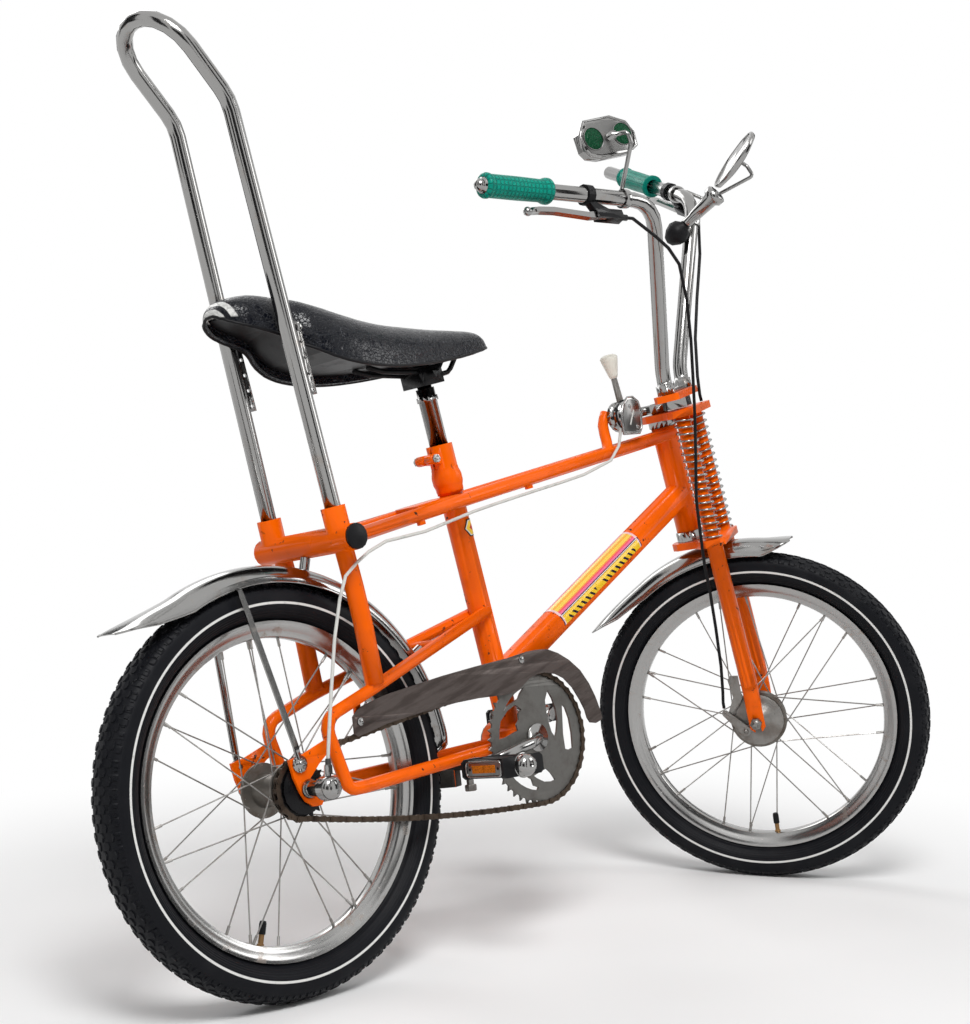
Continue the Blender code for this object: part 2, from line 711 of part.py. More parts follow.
def fender(angles, radius, flare, boss):
    """A rolled mudguard about the axle at the origin, from a table of degrees; flare lifts a degree's section."""
    half = FENDER_HALF_WIDTH
    outer = [(half, -23), (half - 1.5, -15), (half - 10, -5), (0, 0)]
    sections = []
    for degrees in angles:
        lift, flat = flare(degrees)
        ring = []
        for inset in (0.0, FENDER_THICKNESS):
            side = [(y - (inset if drop < -15 else 0.0), drop * (1 - flat) - (0.0 if drop < -15 else inset))
                    for y, drop in outer]
            both_sides = side + [(-y, drop) for y, drop in reversed(side[:-1])]
            ring += both_sides if inset == 0 else list(reversed(both_sides))
        a = math.radians(degrees)
        reach = [(radius + lift + drop, y) for y, drop in ring]
        sections.append([(r * math.cos(a), y, r * math.sin(a)) for r, y in reach])
    return join(loft(sections), *boss)


def rear_fender():
    def flare(degrees):
        past = max(0.0, (degrees - 117.0) / 20.0)
        return 28.0 * past ** 1.6, 0.55 * past
    up = math.radians(74.2)
    reach = math.hypot(CROSS_X, CROSS_Z) - CROSS_RADIUS - GAP
    root = REAR_FENDER_RADIUS - 1.1
    post = cylinder((math.cos(up) * root, 0, math.sin(up) * root), (math.cos(up) * reach, 0, math.sin(up) * reach),
                    7, 12)
    low = BRIDGE_ANGLE
    end = REAR_FENDER_RADIUS + BRIDGE_FROM_FENDER - 6 - GAP
    stub = cylinder((math.cos(low) * root, 0, math.sin(low) * root), (math.cos(low) * end, 0, math.sin(low) * end),
                    6, 12)
    angles = [4, 17, 30.93, 45, 60, 74.2, 89, 104, 117, 124, 131, 137]
    return fender(angles, REAR_FENDER_RADIUS, flare, [post, stub])


def fender_stay():
    """The flat stay of the right side, with the bolt that holds its eye to the dropout."""
    outer = DROPOUT_INNER + DROPOUT_THICKNESS + GAP
    across = Vector((0.98, 0, 0.19))
    sections = []
    for x, y, z, wide in ((-11.5, -outer - 1.3, 37, 4), (-14.5, -outer - 1.3, 53, 4), (-51.5, -35.2, 239, 4),
                          (-53.0, -34.2, 247, 3)):
        at = Vector((x, y, z))
        sections.append([tuple(at + across * (wide * i) + Vector((0, 1.25 * j, 0)))
                         for i, j in ((-1, -1), (1, -1), (1, 1), (-1, 1))])
    eye = cylinder((STAY_BOLT[0], -outer, STAY_BOLT[1]), (STAY_BOLT[0], -outer - 2.5, STAY_BOLT[1]), 10.5, 16)
    head = plate(hex_points(STAY_BOLT, 6.5), 4.5, (0, -outer - 4.5, 0))
    shank = cylinder((STAY_BOLT[0], -outer - 2, STAY_BOLT[1]), (STAY_BOLT[0], -DROPOUT_INNER, STAY_BOLT[1]), 3.0, 10)
    return join(loft(sections), eye, head, shank)


def chain_guard():
    outline = [(84, 78), (92, 85.5), (98, 89), (110, 92.5), (140, 100), (240, 115), (300, 122), (360, 128), (400, 134),
               (420, 135), (440, 134), (460, 127), (480, 116), (500, 100), (515, 80), (525, 60), (532, 40), (534, 30),
               (531, 27), (520, 24), (508, 26), (503, 33), (500, 45), (492, 60), (480, 78), (465, 92), (450, 99),
               (430, 103), (415, 102), (400, 98), (390, 92), (375, 83), (360, 80), (300, 80), (260, 78), (200, 72),
               (140, 64), (110, 57), (90, 53), (84, 57)]
    sheet = plate(outline, GUARD_THICKNESS, (0, GUARD_Y, 0))
    face = -GUARD_Y + GUARD_THICKNESS / 2
    heads = [turned([(0, face - 0.5), (5, face - 0.5), (5, face + 0.8), (3, face + 1.8), (0, face + 1.8)], 10,
                    (x, 0, z), (0, -1, 0)) for x, z in ((95, 71), (387, 124))]
    return join(sheet, *heads)


# Drive


def pitch_radius(teeth):
    return PITCH / (2 * math.sin(math.pi / teeth))


def tooth_outline(teeth):
    """The toothed edge of a chain wheel: each gap is a seat for a roller, each tooth a blunt point."""
    middle = pitch_radius(teeth)
    points = []
    for i in range(teeth):
        for share, radius in ((-0.22, middle - TOOTH_ROOT), (0.22, middle - TOOTH_ROOT), (0.5, middle + TOOTH_TIP)):
            a = 2 * math.pi * (i + share) / teeth
            points.append((radius * math.cos(a), radius * math.sin(a)))
    return points


def serrated(start, stop):
    """Part of the toothed edge drawn inside the chainring, about a second centre ahead of the first."""
    centre, radius, step = (49.6, -3.3), 87.0, 5.4
    count = round(abs(stop - start) / step)
    points = []
    for i in range(count + 1):
        a = math.radians(start + (stop - start) * i / count)
        r = radius + (1.8 if i % 2 else -1.8)
        points.append((centre[0] + r * math.cos(a), centre[1] + r * math.sin(a)))
    return points


def ring_holes():
    band = 71.0
    upper = circle((0, 0), band, 6, 102, 148)
    lower = circle((0, 0), band, 2, 156, 176)
    rear = circle((0, 0), band, 7, 200, 262)
    return [
        upper[::-1] + [(-22.6, 62.5), (-27.6, 55.5), (-50, 47.5)],
        [(-50, 41.5), (-34, 48)] + serrated(149, 169) + [(-40.6, 11.5), (-58.6, 6.5)] + lower[::-1],
        rear + serrated(228, 190),
        [(-13.6, -50.5), (-0.6, -46.5), (11.4, -43.5), (19.4, -50.5), (26.4, -60.5), (19.4, -62), (4.4, -60.5),
         (-9, -54)],
        [(23.4, 48.5), (30.4, 62), (37.4, 50.5), (42.4, 34.5), (43.4, 19.5), (39.4, 4.5), (35.4, -3.5), (29.4, 4.5),
         (25.4, 19.5), (23.4, 34.5)],
        [(52.4, -21.5), (51.4, -0.5), (53.4, 19.5), (55.4, 41), (61.4, 34.5), (66.4, 19.5), (68.4, -0.5),
         (67.4, -21.5), (59.4, -23.5)],
    ]


def chainring():
    centre_hole = circle((0, 0), bore(CRANK_AXLE_RADIUS + 3, 20), 20)
    return plate(tooth_outline(RING_TEETH), RING_THICKNESS, (0, CHAIN_Y, 0), holes=[centre_hole, *ring_holes()])


def crank():
    """The one-piece crank: two arms in line across the axle, with bosses for the pedals."""
    direction = Vector((math.cos(CRANK_ANGLE), 0, math.sin(CRANK_ANGLE)))
    parts = []
    for side in (-1, 1):
        run = direction * (1 if side < 0 else -1)
        arm_y = side * CRANK_ARM_Y
        path = [(0, side * 34, 0), (0, side * 53, 0), run * 30 + Vector((0, arm_y, 0)),
                run * (CRANK_LENGTH - 4) + Vector((0, arm_y + side * 4, 0))]
        parts.append(tube(rounded(path, [13, 24], 24), 8.0, 3))
        tip = run * CRANK_LENGTH
        parts.append(cylinder(tip + Vector((0, side * 61, 0)), tip + Vector((0, side * 75.5, 0)), 13, 14))
        parts.append(cylinder(tip + Vector((0, side * 70, 0)), tip + Vector((0, side * (PEDAL_OUTER - 3), 0)),
                              PEDAL_PIN_RADIUS, 10))
    face = CHAIN_Y - RING_THICKNESS / 2 - GAP
    axle = turned([(0, -50), (19, -50), (19, face), (CRANK_AXLE_RADIUS + 3, face), (CRANK_AXLE_RADIUS + 3, -44.5),
                   (CRANK_AXLE_RADIUS, -42), (CRANK_AXLE_RADIUS, 44), (0, 44)], 20)
    return join(axle, *parts)


def pedal(side):
    """One pedal about its pin: two rubber blocks between chrome end plates, and the dust cap outside."""
    blocks = [block((20, 73, 24), (x, side * (PEDAL_INNER + 40), 0)) for x in (-21, 21)]
    ends = []
    for y in (PEDAL_INNER + 4, PEDAL_INNER + 77):
        outline = [(-36, -9), (-31, -13), (31, -13), (36, -9), (36, 9), (31, 13), (-31, 13), (-36, 9)]
        ends.append(plate(outline, 4, (0, side * y, 0)))
    barrel = turned([(0, PEDAL_INNER), (12.5, PEDAL_INNER), (12.5, PEDAL_OUTER - 4), (14.5, PEDAL_OUTER - 4),
                     (14.5, PEDAL_OUTER + 3), (10, PEDAL_OUTER + 8), (0, PEDAL_OUTER + 10)], 12, axis=(0, side, 0))
    hole = cylinder((0, side * (PEDAL_INNER - 5), 0), (0, side * (PEDAL_OUTER - 1), 0),
                    bore(PEDAL_PIN_RADIUS, 10, RUNNING_GAP), 10)
    return cut(join(barrel, *blocks, *ends), hole)


def chain_path():
    """Pitch line of the chain as (x, z), clockwise from the sprocket's back over the top."""
    small, large = pitch_radius(SPROCKET_TEETH), pitch_radius(RING_TEETH)
    distance = math.hypot(BB_X, BB_Z)
    tilt = math.atan2(BB_Z, BB_X)
    open_angle = math.asin((large - small) / distance)
    top = math.pi / 2 + tilt + open_angle
    bottom = -math.pi / 2 + tilt + math.radians(5.2)
    path = []
    steps = 10
    for i in range(steps):
        a = (bottom + 2 * math.pi) - (bottom + 2 * math.pi - top) * i / (steps - 1)
        path.append((small * math.cos(a), small * math.sin(a)))
    low = -math.pi / 2 + tilt - math.radians(5.0)
    for i in range(17):
        a = top - (top - low) * i / 16
        path.append((BB_X + large * math.cos(a), BB_Z + large * math.sin(a)))
    first = path[0]
    last = path[-1]
    for i in range(1, 5):
        share = i / 5
        sag = 4 * CHAIN_SAG * share * (1 - share)
        path.append((last[0] + (first[0] - last[0]) * share, last[1] + (first[1] - last[1]) * share - sag))
    return path




def chain():
    """The chain as one loop: a channel, open towards the wheels, that their teeth run in."""
    path = chain_path()
    sections = []
    for i, (x, z) in enumerate(path):
        before, after = path[i - 1], path[(i + 1) % len(path)]
        run = Vector((after[0] - before[0], 0, after[1] - before[1])).normalized()
        out = Vector((-run.z, 0, run.x))
        profile = [(-CHAIN_OUTER, -CHAIN_HALF_HEIGHT), (-CHAIN_INNER, -CHAIN_HALF_HEIGHT),
                   (-CHAIN_INNER, CHAIN_BACK), (CHAIN_INNER, CHAIN_BACK), (CHAIN_INNER, -CHAIN_HALF_HEIGHT),
                   (CHAIN_OUTER, -CHAIN_HALF_HEIGHT), (CHAIN_OUTER, CHAIN_HALF_HEIGHT),
                   (-CHAIN_OUTER, CHAIN_HALF_HEIGHT)]
        at = Vector((x, CHAIN_Y, z))
        sections.append([tuple(at + Vector((0, y, 0)) + out * height) for y, height in profile])
    return loft(sections, closed=True)


def rear_sprocket():
    """The sprocket on its driver, with the black dust cover over the bearing."""
    wheel = plate(tooth_outline(SPROCKET_TEETH), RING_THICKNESS, (0, CHAIN_Y, 0))
    driver = turned([(0, 40.6), (20, 40.6), (20, 48), (31, 49), (31, 52.5), (26, 54), (0, 54)], 16,
                    axis=(0, -1, 0))
    hole = cylinder((0, -60, 0), (0, -30, 0), bore(AXLE_RADIUS, 12, RUNNING_GAP), 12)
    return cut(join(wheel, driver), hole)


# Wheels


def rim():
    half, outer, inner = RIM_HALF_WIDTH, RIM_RADIUS, RIM_INNER
    profile = [(outer, -half), (outer, 2 - half), (outer - 6, 3.5 - half), (outer - 9, 9.5 - half),
               (outer - 9, half - 9.5), (outer - 6, half - 3.5), (outer, half - 2), (outer, half),
               (inner, half - 7.5), (inner, 7.5 - half)]
    return turned(profile, WHEEL_SEGMENTS, ring=True)


def tyre():
    outer, half = WHEEL_RADIUS, TYRE_HALF_WIDTH
    bead = RIM_RADIUS
    side = [(bead - 6.4, 10.5), (bead + 1.0, 12.2), (bead + 6, 20.5), (bead + 16, half), (outer - 13, half - 1.2),
            (outer - 4, half - 9), (outer - 0.6, half - 19)]
    profile = side + [(r, -y) for r, y in reversed(side)]
    return turned(profile, WHEEL_SEGMENTS, ring=True)


def spokes(flanges):
    """Spokes that cross from the flange holes of each side to the rim; flanges gives (y, hole radius)."""
    cross = math.radians(57.9)
    per_side = SPOKE_COUNT // 2
    made = []
    for index, (y, hole) in enumerate(flanges):
        for k in range(per_side):
            leading = 1 if k % 2 else -1
            a = 2 * math.pi * (k + index * 0.5) / per_side
            b = a + leading * cross
            end = RIM_INNER - 1.3
            made.append(cylinder((hole * math.cos(a), y + 1.2 * leading, hole * math.sin(a)),
                                 (end * math.cos(b), math.copysign(3.0, y), end * math.sin(b)), SPOKE_RADIUS, 3))
    return made


def hub_and_spokes(profile, flanges):
    inner = bore(AXLE_RADIUS, 16, RUNNING_GAP)
    shell = turned([(inner, profile[0][1]), *profile, (inner, profile[-1][1])], 16, ring=True)
    return join(shell, *spokes(flanges))


REAR_HUB = [(15, -40), (16, -34), (34, -31.5), (34, -27.5), (20, -25), (19, 12), (22, 25), (34, 27.5), (34, 31.5),
            (16, 34), (14, 50)]
FRONT_HUB = [(43, -33), (43, -27.5), (40, -26), (40, -8), (16, -4), (13, 25), (25, 27.5), (25, 31.5), (12, 33),
             (11, 42)]


def axle(inner, outer, nut=9.0):
    """An axle with a cone nut inside each fork end and a nut outside it; inner and outer are the fork end's
    faces."""
    rod = cylinder((0, -outer - 15, 0), (0, outer + 15, 0), AXLE_RADIUS, 12)
    parts = []
    for side in (-1, 1):
        parts.append(cylinder((0, side * (inner - 4), 0), (0, side * (inner - GAP), 0), 7.5, 8))
        parts.append(plate(hex_points((0, 0), nut), 9, (0, side * (outer + GAP + 4.5), 0)))
    return join(rod, *parts)


# Fork and what it carries, in the fork frame


def leg_end():
    """The leg's lower end, pressed flat, with the axle slot."""
    sections = []
    for w, wide, thick, u in ((60, LEG_RADIUS, LEG_RADIUS, LEG_U), (40, 12.6, 12.0, LEG_U - 0.5),
                              (24, 12.5, 6, 41.5), (12, 12.2, 3.1, 40.5), (-16, 12, 3.1, 39.75),
                              (-22, 7, 3.1, 39.75)):
        sections.append([(u + wide * math.cos(math.radians(a)), -LEG_V + thick * math.sin(math.radians(a)), w)
                         for a in range(0, 360, 36)])
    return loft(sections)


def crown_outline(rear, front):
    """A pear-shaped crown plate round the steerer and both legs, as (u, v) points."""
    spread = LEG_V + 17
    right = [(rear, -9), (rear + 9, -22), (10, -38), (22, -62), (32, -spread + 1), (front - 6, -spread + 1),
             (front, -spread + 8)]
    return right + [(u, -v) for u, v in reversed(right)]


def fork():
    steerer = cylinder((0, 0, LOWER_CROWN[0]), (0, 0, BAR_CLAMP[1] - 1), STEERER_RADIUS, 24)
    crown = plate(crown_outline(-30, 62), LOWER_CROWN[1] - LOWER_CROWN[0], (0, 0, sum(LOWER_CROWN) / 2), ACROSS)

    def leg():
        return cylinder((LEG_U, -LEG_V, 50), (LEG_U, -LEG_V, LOWER_CROWN[0] + 3), LEG_RADIUS, 14)

    def upper():
        return cylinder((LEG_U, -LEG_V, LOWER_CROWN[1] - 3), (LEG_U, -LEG_V, UPPER_CROWN[0] - GAP),
                        LEG_UPPER_RADIUS, 10)

    slots = [block((2 * (AXLE_RADIUS + GAP), 16, 40), (FRONT_WHEEL[0], side * LEG_V, FRONT_WHEEL[2] - 15.0))
             for side in (-1, 1)]
    body = join(steerer, crown, *both(leg), *both(upper), *both(leg_end))
    return cut(body, *slots)


def upper_crown():
    body = plate(crown_outline(-29, 68), UPPER_CROWN[1] - UPPER_CROWN[0], (0, 0, sum(UPPER_CROWN) / 2), ACROSS,
                 holes=[circle((0, 0), bore(STEERER_RADIUS, 24), 24)])
    return body


def fork_spring(side):
    """A chromed coil round the leg, between the two crowns."""
    low, high = LOWER_CROWN[1] + SPRING_WIRE + GAP, UPPER_CROWN[0] - SPRING_WIRE - GAP
    steps = round(SPRING_TURNS * 6)
    sections = []
    for i in range(steps + 1):
        a = 2 * math.pi * SPRING_TURNS * i / steps
        w = low + (high - low) * i / steps
        sections.append([(LEG_U + r * math.cos(a), side * (LEG_V + r * math.sin(a)), w + rise) for r, rise in
                         ((SPRING_RADIUS + SPRING_WIRE, 0), (SPRING_RADIUS - 1, SPRING_WIRE),
                          (SPRING_RADIUS - 1, -SPRING_WIRE))])
    return loft(sections)


def front_fender():
    def flare(degrees):
        past = max(0.0, (degrees - 120.0) / 20.0)
        return 14.0 * past ** 1.6, 0.4 * past
    top = LOWER_CROWN[0] - FRONT_WHEEL[2] - GAP
    post = cylinder((0, 0, FRONT_FENDER_RADIUS - 1.0), (0, 0, top), 8, 12)
    return fender([67, 78, 90, 102, 112, 121, 128, 135, 141], FRONT_FENDER_RADIUS, flare, [post])


def brake_plate():
    """The cover of the front drum, with its anchor strip up to the leg and the stop for the cable."""
    inner = bore(AXLE_RADIUS, 20)
    disc = turned([(inner, 33.6), (39, 33.6), (39, 36), (33, 38.5), (12, 39.5), (12, 45.5), (inner, 45.5)], 20,
                  axis=(0, -1, 0), ring=True)
    strip = plate([(-34, 14), (-26, 24), (-16, 38), (-14, 74), (-26, 76), (-31, 70), (-29, 42), (-42, 20)], 3,
                  (0, -38.4, 0))
    shoulder = cylinder((BRAKE_PIN[0], -37, BRAKE_PIN[1]), (BRAKE_PIN[0], -BRAKE_ARM_Y + 1.5 + GAP, BRAKE_PIN[1]), 8, 12)
    pin = cylinder((BRAKE_PIN[0], -37, BRAKE_PIN[1]), (BRAKE_PIN[0], -BRAKE_ARM_Y - 3, BRAKE_PIN[1]), 3.5, 10)
    return join(disc, strip, shoulder, pin)


BRAKE_ARM_Y = 43.0
BRAKE_PIN = (-21.0, -12.0)
BRAKE_TIP = (-46.0, 21.0)


def brake_arm():
    """The short arm on the brake plate that the cable pulls."""
    outline = circle(BRAKE_PIN, 8, 6, 230, 410) + circle(BRAKE_TIP, 5, 4, 60, 220)
    return plate(outline, 3, (0, -BRAKE_ARM_Y, 0), holes=[circle(BRAKE_PIN, bore(3.5, 10), 10)])


def bar_clamp():
    """The split clamp round the steerer, with its lugs and bolt behind."""
    low, high = BAR_CLAMP
    middle = (low + high) / 2
    hole = circle((0, 0), bore(STEERER_RADIUS, 24), 24)
    outline = circle((0, 0), 21, 10, -150, 150)
    body = plate([(u, v) for u, v in outline] + [(-30, 9), (-30, -9)], high - low, (0, 0, middle), ACROSS,
                 holes=[hole])
    front = block((30, 40, high - low), (33, 0, middle))
    front = cut(front, cylinder((0, 0, low - 5), (0, 0, high + 5), 18, 24))
    bolt = cylinder((-25, -19, middle), (-25, 19, middle), 5.0, 12)
    return join(body, front, bolt)


def bar_plate():
    """The orange plate on the clamp that the handlebar's two feet stand on."""
    half = BAR_PLATE_HALF
    outline = [(12, -half + 8), (18, -half), (46, -half), (51, -half + 6), (51, half - 6), (46, half), (18, half),
               (12, half - 8)]
    return plate(outline, BAR_PLATE[1] - BAR_PLATE[0], (0, 0, sum(BAR_PLATE) / 2), ACROSS)


def bar_points(side):
    """Foot, kink, corner and end of the handlebar on one side; the used bar sits lower on its right."""
    points = [list(BAR_FOOT), list(BAR_KINK), list(BAR_CORNER), list(BAR_END)]
    points[2][2] += CORNER_LIFT[side]
    points[3][2] += END_LIFT[side]
    return [Vector((u, side * v, w)) for u, v, w in points]


def bar_at(side, distance):
    """A point of the straight grip end at a distance from its outer end, and the direction outwards."""
    corner, end = bar_points(side)[2:]
    out = (end - corner).normalized()
    return end - out * distance, out


def handlebar():
    """One bent tube on each side, joined by the foot sockets' bridge on the bar plate."""
    parts = []
    for side in (-1, 1):
        foot, kink, corner, end = bar_points(side)
        parts.append(tube(rounded([foot, kink, corner, end], [60, 58], 16), BAR_RADIUS, 4))
        parts.append(cylinder((foot.x, foot.y, BAR_PLATE[1] + GAP * 2), (foot.x, foot.y, BAR_PLATE[1] + 15), 14, 16))
        cap, out = bar_at(side, 0)
        parts.append(ball(cap + out * 2, 9.0, 5))
    bridge = block((16, 2 * BAR_FOOT[1], 5), (BAR_FOOT[0], 0, BAR_PLATE[1] + GAP + 2.5))
    return join(bridge, *parts)


def grip(side):
    start, out = bar_at(side, GRIP_START[side])
    inner = bore(BAR_RADIUS, 14)
    length = GRIP_LENGTH
    profile = [(inner, 0), (GRIP_RADIUS - 2, 0), (GRIP_RADIUS, 3), (GRIP_RADIUS - 1, length - 10),
               (GRIP_RADIUS + 1.5, length - 6), (GRIP_RADIUS + 1.5, length), (inner, length)]
    return turned(profile, 14, start, -out, ring=True)


def control_frame(side):
    """Local frame of a brake lever: X outwards along the bar, Z square to it and upwards."""
    point, out = bar_at(side, LEVER_AT[side])
    up = Vector((-0.45, 0, 1))
    up = (up - out * up.dot(out)).normalized()
    turn = Matrix((out, up.cross(out), up)).transposed().to_4x4()
    return Matrix.Translation(vec(point)) @ turn


LEVER_PIVOT = (-12.0, 0.0, -33.0)
LEVER_HALF_SLOT = 3.6


def brake_bracket(side):
    """The clamp on the bar with the forked body that the lever turns in."""
    band = turned([(bore(BAR_RADIUS, 12), -6), (15, -6), (15, 6), (bore(BAR_RADIUS, 12), 6)], 12, axis=(1, 0, 0),
                  ring=True)
    low = LEVER_PIVOT[2]
    neck = plate([(-5, -11.5), (5, -11.5), (-1, low + 6), (-34, low + 6)], 10, (0, 0, 0))
    body = block((46, 15, 14), (-26, 0, low + 0.5))
    slot = block((34, 2 * LEVER_HALF_SLOT, 20), (-5, 0, low))
    pin = cylinder((LEVER_PIVOT[0], -7.4, LEVER_PIVOT[2]), (LEVER_PIVOT[0], 7.4, LEVER_PIVOT[2]), 2.5, 10)
    nut = cylinder((-48, 0, low), (-60, 0, low), 4.5, 10)
    return join(cut(join(band, neck, body), slot), pin, nut)


def brake_lever(side):
    """The curved blade with a ball at its tip; its origin is the pivot."""
    sections = []
    stations = [(-9, 0, 5), (4, 0, 5.5), (24, -3, 4.5), (50, -1.5, 4.2), (85, 0.5, 4.2), (112, -1, 4.0),
                (LEVER_LENGTH - 4, -3.5, 3.5)]
    for x, z, tall in stations:
        wide = 3.0 if x < 20 else 4.2
        sections.append([(x, -wide, z - tall), (x, wide, z - tall), (x, wide, z + tall), (x, -wide, z + tall)])
    tip = ball((LEVER_LENGTH, 0, -4), 6.5, 5)
    hole = cylinder((0, -8, 0), (0, 8, 0), bore(2.5, 10), 10)
    return cut(join(loft(sections), tip), hole)


FRONT_CABLE = [(97, -200, 736), (106, -175, 717), (111, -150, 692),
               (104, -120, 640), (92, -100, 582), (80, -90, 529), (70, -84, 484), (62, -80, 450), (50, -79, 400),
               (38, -78, 350), (31, -76, 300), (25, -74, 250), (22, -70, 205), (17, -69, 150), (10, -67, 90),
               (2, -62, 50), (-4, -50, 32), (-5.8, -44.5, 22.5)]
REAR_CABLE = [(97, 182, 750), (95, 146, 710), (80, 110, 644), (66, 85, 582), (58, 68, 524),
              (56, 60, 496), (56, 60, 485)]
SHIFT_CABLE = [(3.2, -98.3, 27), (6, -98.3, 42), (12, -97, 68), (27, -89, 110), (47, -82, 176), (65, -78, 224),
               (78, -78, 252), (98, -79, 268), (124, -73, 281), (164, -62, 294), (242, -52, 305), (346, -38, 330),
               (472, -34, 356), (580, -32, 378), (641, -31.5, 398), (664, -30, 420), (676.2, -27, 446.5)]


def cable(route, radius):
    return tube(smooth(route, 50), radius, 2)


def lever_port(side):
    """Where a cable leaves its lever's bracket, and a point further along that line."""
    place = control_frame(side)
    return [tuple(place @ vec((x, 0, LEVER_PIVOT[2])) / MM) for x in (-60 - GAP, -72)]


def mirror_octagon():
    """An eight-cornered mirror on a bent stem; its origin is the foot of the stem."""
    outline = [(-50, -14), (-50, 10), (-36, 29), (14, 30.5), (40, 19), (50, 3), (48, -19), (30, -28), (-24, -29),
               (-43, -24)]
    turn = MIRROR_HEAD.to_3x3()
    centre = MIRROR_HEAD.translation / MM
    shell = plate(outline, 13, tuple(centre), turn.to_4x4())
    socket_start, stem_end, socket_end = (centre + turn @ Vector((3, 0, z)) for z in (5, 14, 18))
    rod = tube(rounded([(0, 0, 0), (30, -3, 60), (29, -5, 76), stem_end], [14, 6], 30), 3.2, 2)
    return join(shell, rod, cylinder(socket_start, socket_end, 6.0, 12))


MIRROR_HEAD = frame_at((-6, 7.1, 76.8), (0.76, -0.62, 0.1), (0.6, 0.8, 0.0))


def mirror_oval():
    """A round-backed oval mirror on a V-shaped wire; its origin is the foot of the wire."""
    face = OVAL_HEAD
    shell = turned([(0, -7), (22, -5), (35, 0), (36, 5), (34, 7.5), (0, 7.5)], 16, axis=(0, 0, 1))
    shell.data.transform(face @ Matrix.Diagonal((1.45, 1.0, 1.0, 1.0)))
    shell.data.update()
    hook = face @ vec((3, 0, -4))
    wire = tube(rounded([(0, 0, 0), (30, -2, -23), (112, -6, -5), (106, -5, 12), tuple(hook / MM)], [16, 5, 5], 30),
                3.0, 2)
    return join(shell, wire)


OVAL_HEAD = frame_at((92, -6, 24), (-0.61, -0.33, 0.71), (0.75, 0.0, 0.66))


HORN_NECK = Vector((88.0, 124.0, 760.0))
HORN_END = Vector((149.0, 122.0, 794.5))
HORN_BULB = 19.5


def horn_trumpet():
    """The chrome trumpet with its slotted end cap, on a band round the bar."""
    run = HORN_END - HORN_NECK
    length = run.length
    body = turned([(0, 0), (6.5, 0), (8, 3), (8, 14), (9.5, 20), (12, length - 16), (16.5, length - 12),
                   (17, length - 2), (14, length), (0, length)], 14, HORN_NECK, run)
    kink, corner = bar_points(1)[1:3]
    along = (corner - kink).normalized()
    at = kink + along * ((762.0 - kink.z) / along.z)
    band = turned([(bore(BAR_RADIUS, 12), -5), (14.5, -5), (14.5, 5), (bore(BAR_RADIUS, 12), 5)], 12, at, along,
                  ring=True)
    arm_end = HORN_NECK + run * 0.22
    inwards = (arm_end - at).normalized()
    arm = cylinder(at + inwards * 12.4, arm_end, 4, 10)
    return join(body, band, arm)


def horn_bulb():
    run = (HORN_END - HORN_NECK).normalized()
    length = HORN_BULB * 2
    profile = [(0, -GAP - 2 - length), (9, -length + 1), (16.5, -length * 0.72), (HORN_BULB, -length * 0.45),
               (16, -length * 0.2), (8.5, -length * 0.06), (8.5, -GAP), (0, -GAP)]
    return turned(profile, 14, HORN_NECK, run)


# Shifter


SHIFTER = (692.0, 0.0, 466.0)
SHIFT_GROOVE = (-22.4, -18.0)


def shifter_housing():
    """The chrome gear changer: a drum with a groove for the lever, and a shield-shaped side plate."""
    x, _, z = SHIFTER
    drum = cylinder((x, -8.6, z), (x, -34, z), 23, 20)
    middle, wide = sum(SHIFT_GROOVE) / 2, SHIFT_GROOVE[1] - SHIFT_GROOVE[0]
    groove = turned([(6, -wide / 2), (30, -wide / 2), (30, wide / 2), (6, wide / 2)], 16, (x, middle, z), ring=True)
    shield = plate([(x - 20, z - 30), (x + 15, z - 28), (x + 21, z - 20), (x + 24, z + 4), (x + 19, z + 20),
                    (x + 8, z + 27), (x - 4, z + 26), (x - 14, z + 17), (x - 21, z)], 3, (0, -34.5, 0))
    return cut(join(drum, shield), groove)


LEVER_TOP = (-10.7, 57.0)
KNOB_TOP = (-18.2, 92.4)


def shift_lever():
    """The flat lever in the groove; its origin is the drum's centre."""
    y = sum(SHIFT_GROOVE) / 2
    width = SHIFT_GROOVE[1] - SHIFT_GROOVE[0] - 2 * GAP
    hub = turned([(bore(6, 16), -width / 2), (15, -width / 2), (15, width / 2), (bore(6, 16), width / 2)], 16,
                 (0, y, 0), ring=True)
    blade = plate([(-6, 11), (6, 12), (LEVER_TOP[0] + 4.5, LEVER_TOP[1] + 1), (LEVER_TOP[0] - 4.5, LEVER_TOP[1] - 1)],
                  width, (0, y, 0))
    return join(hub, blade)


def shift_knob():
    start = Vector((LEVER_TOP[0], sum(SHIFT_GROOVE) / 2, LEVER_TOP[1]))
    run = Vector((KNOB_TOP[0], start.y, KNOB_TOP[1])) - start
    length = run.length
    return turned([(0, GAP), (5.5, GAP), (7, 4), (12.5, length * 0.72), (13.5, length * 0.86), (11.5, length - 2),
                   (7, length), (0, length + 0.5)], 16, start, run)


def shift_box():
    """The cover on the right end of the axle where the gear chain turns up into the cable."""
    outer = DROPOUT_INNER + DROPOUT_THICKNESS + GAP
    cover = turned([(0, outer), (10.5, outer), (11.5, outer + 4), (9.5, outer + 9), (9.5, outer + 25),
                    (13, outer + 30), (13, outer + 43), (10, outer + 50), (0, outer + 51.5)], 16, axis=(0, -1, 0))
    pipe = cylinder((0, -outer - 37, 7), (SHIFT_CABLE[0][0], SHIFT_CABLE[0][1], SHIFT_CABLE[0][2] - GAP), 4.5, 12)
    return join(cover, pipe)


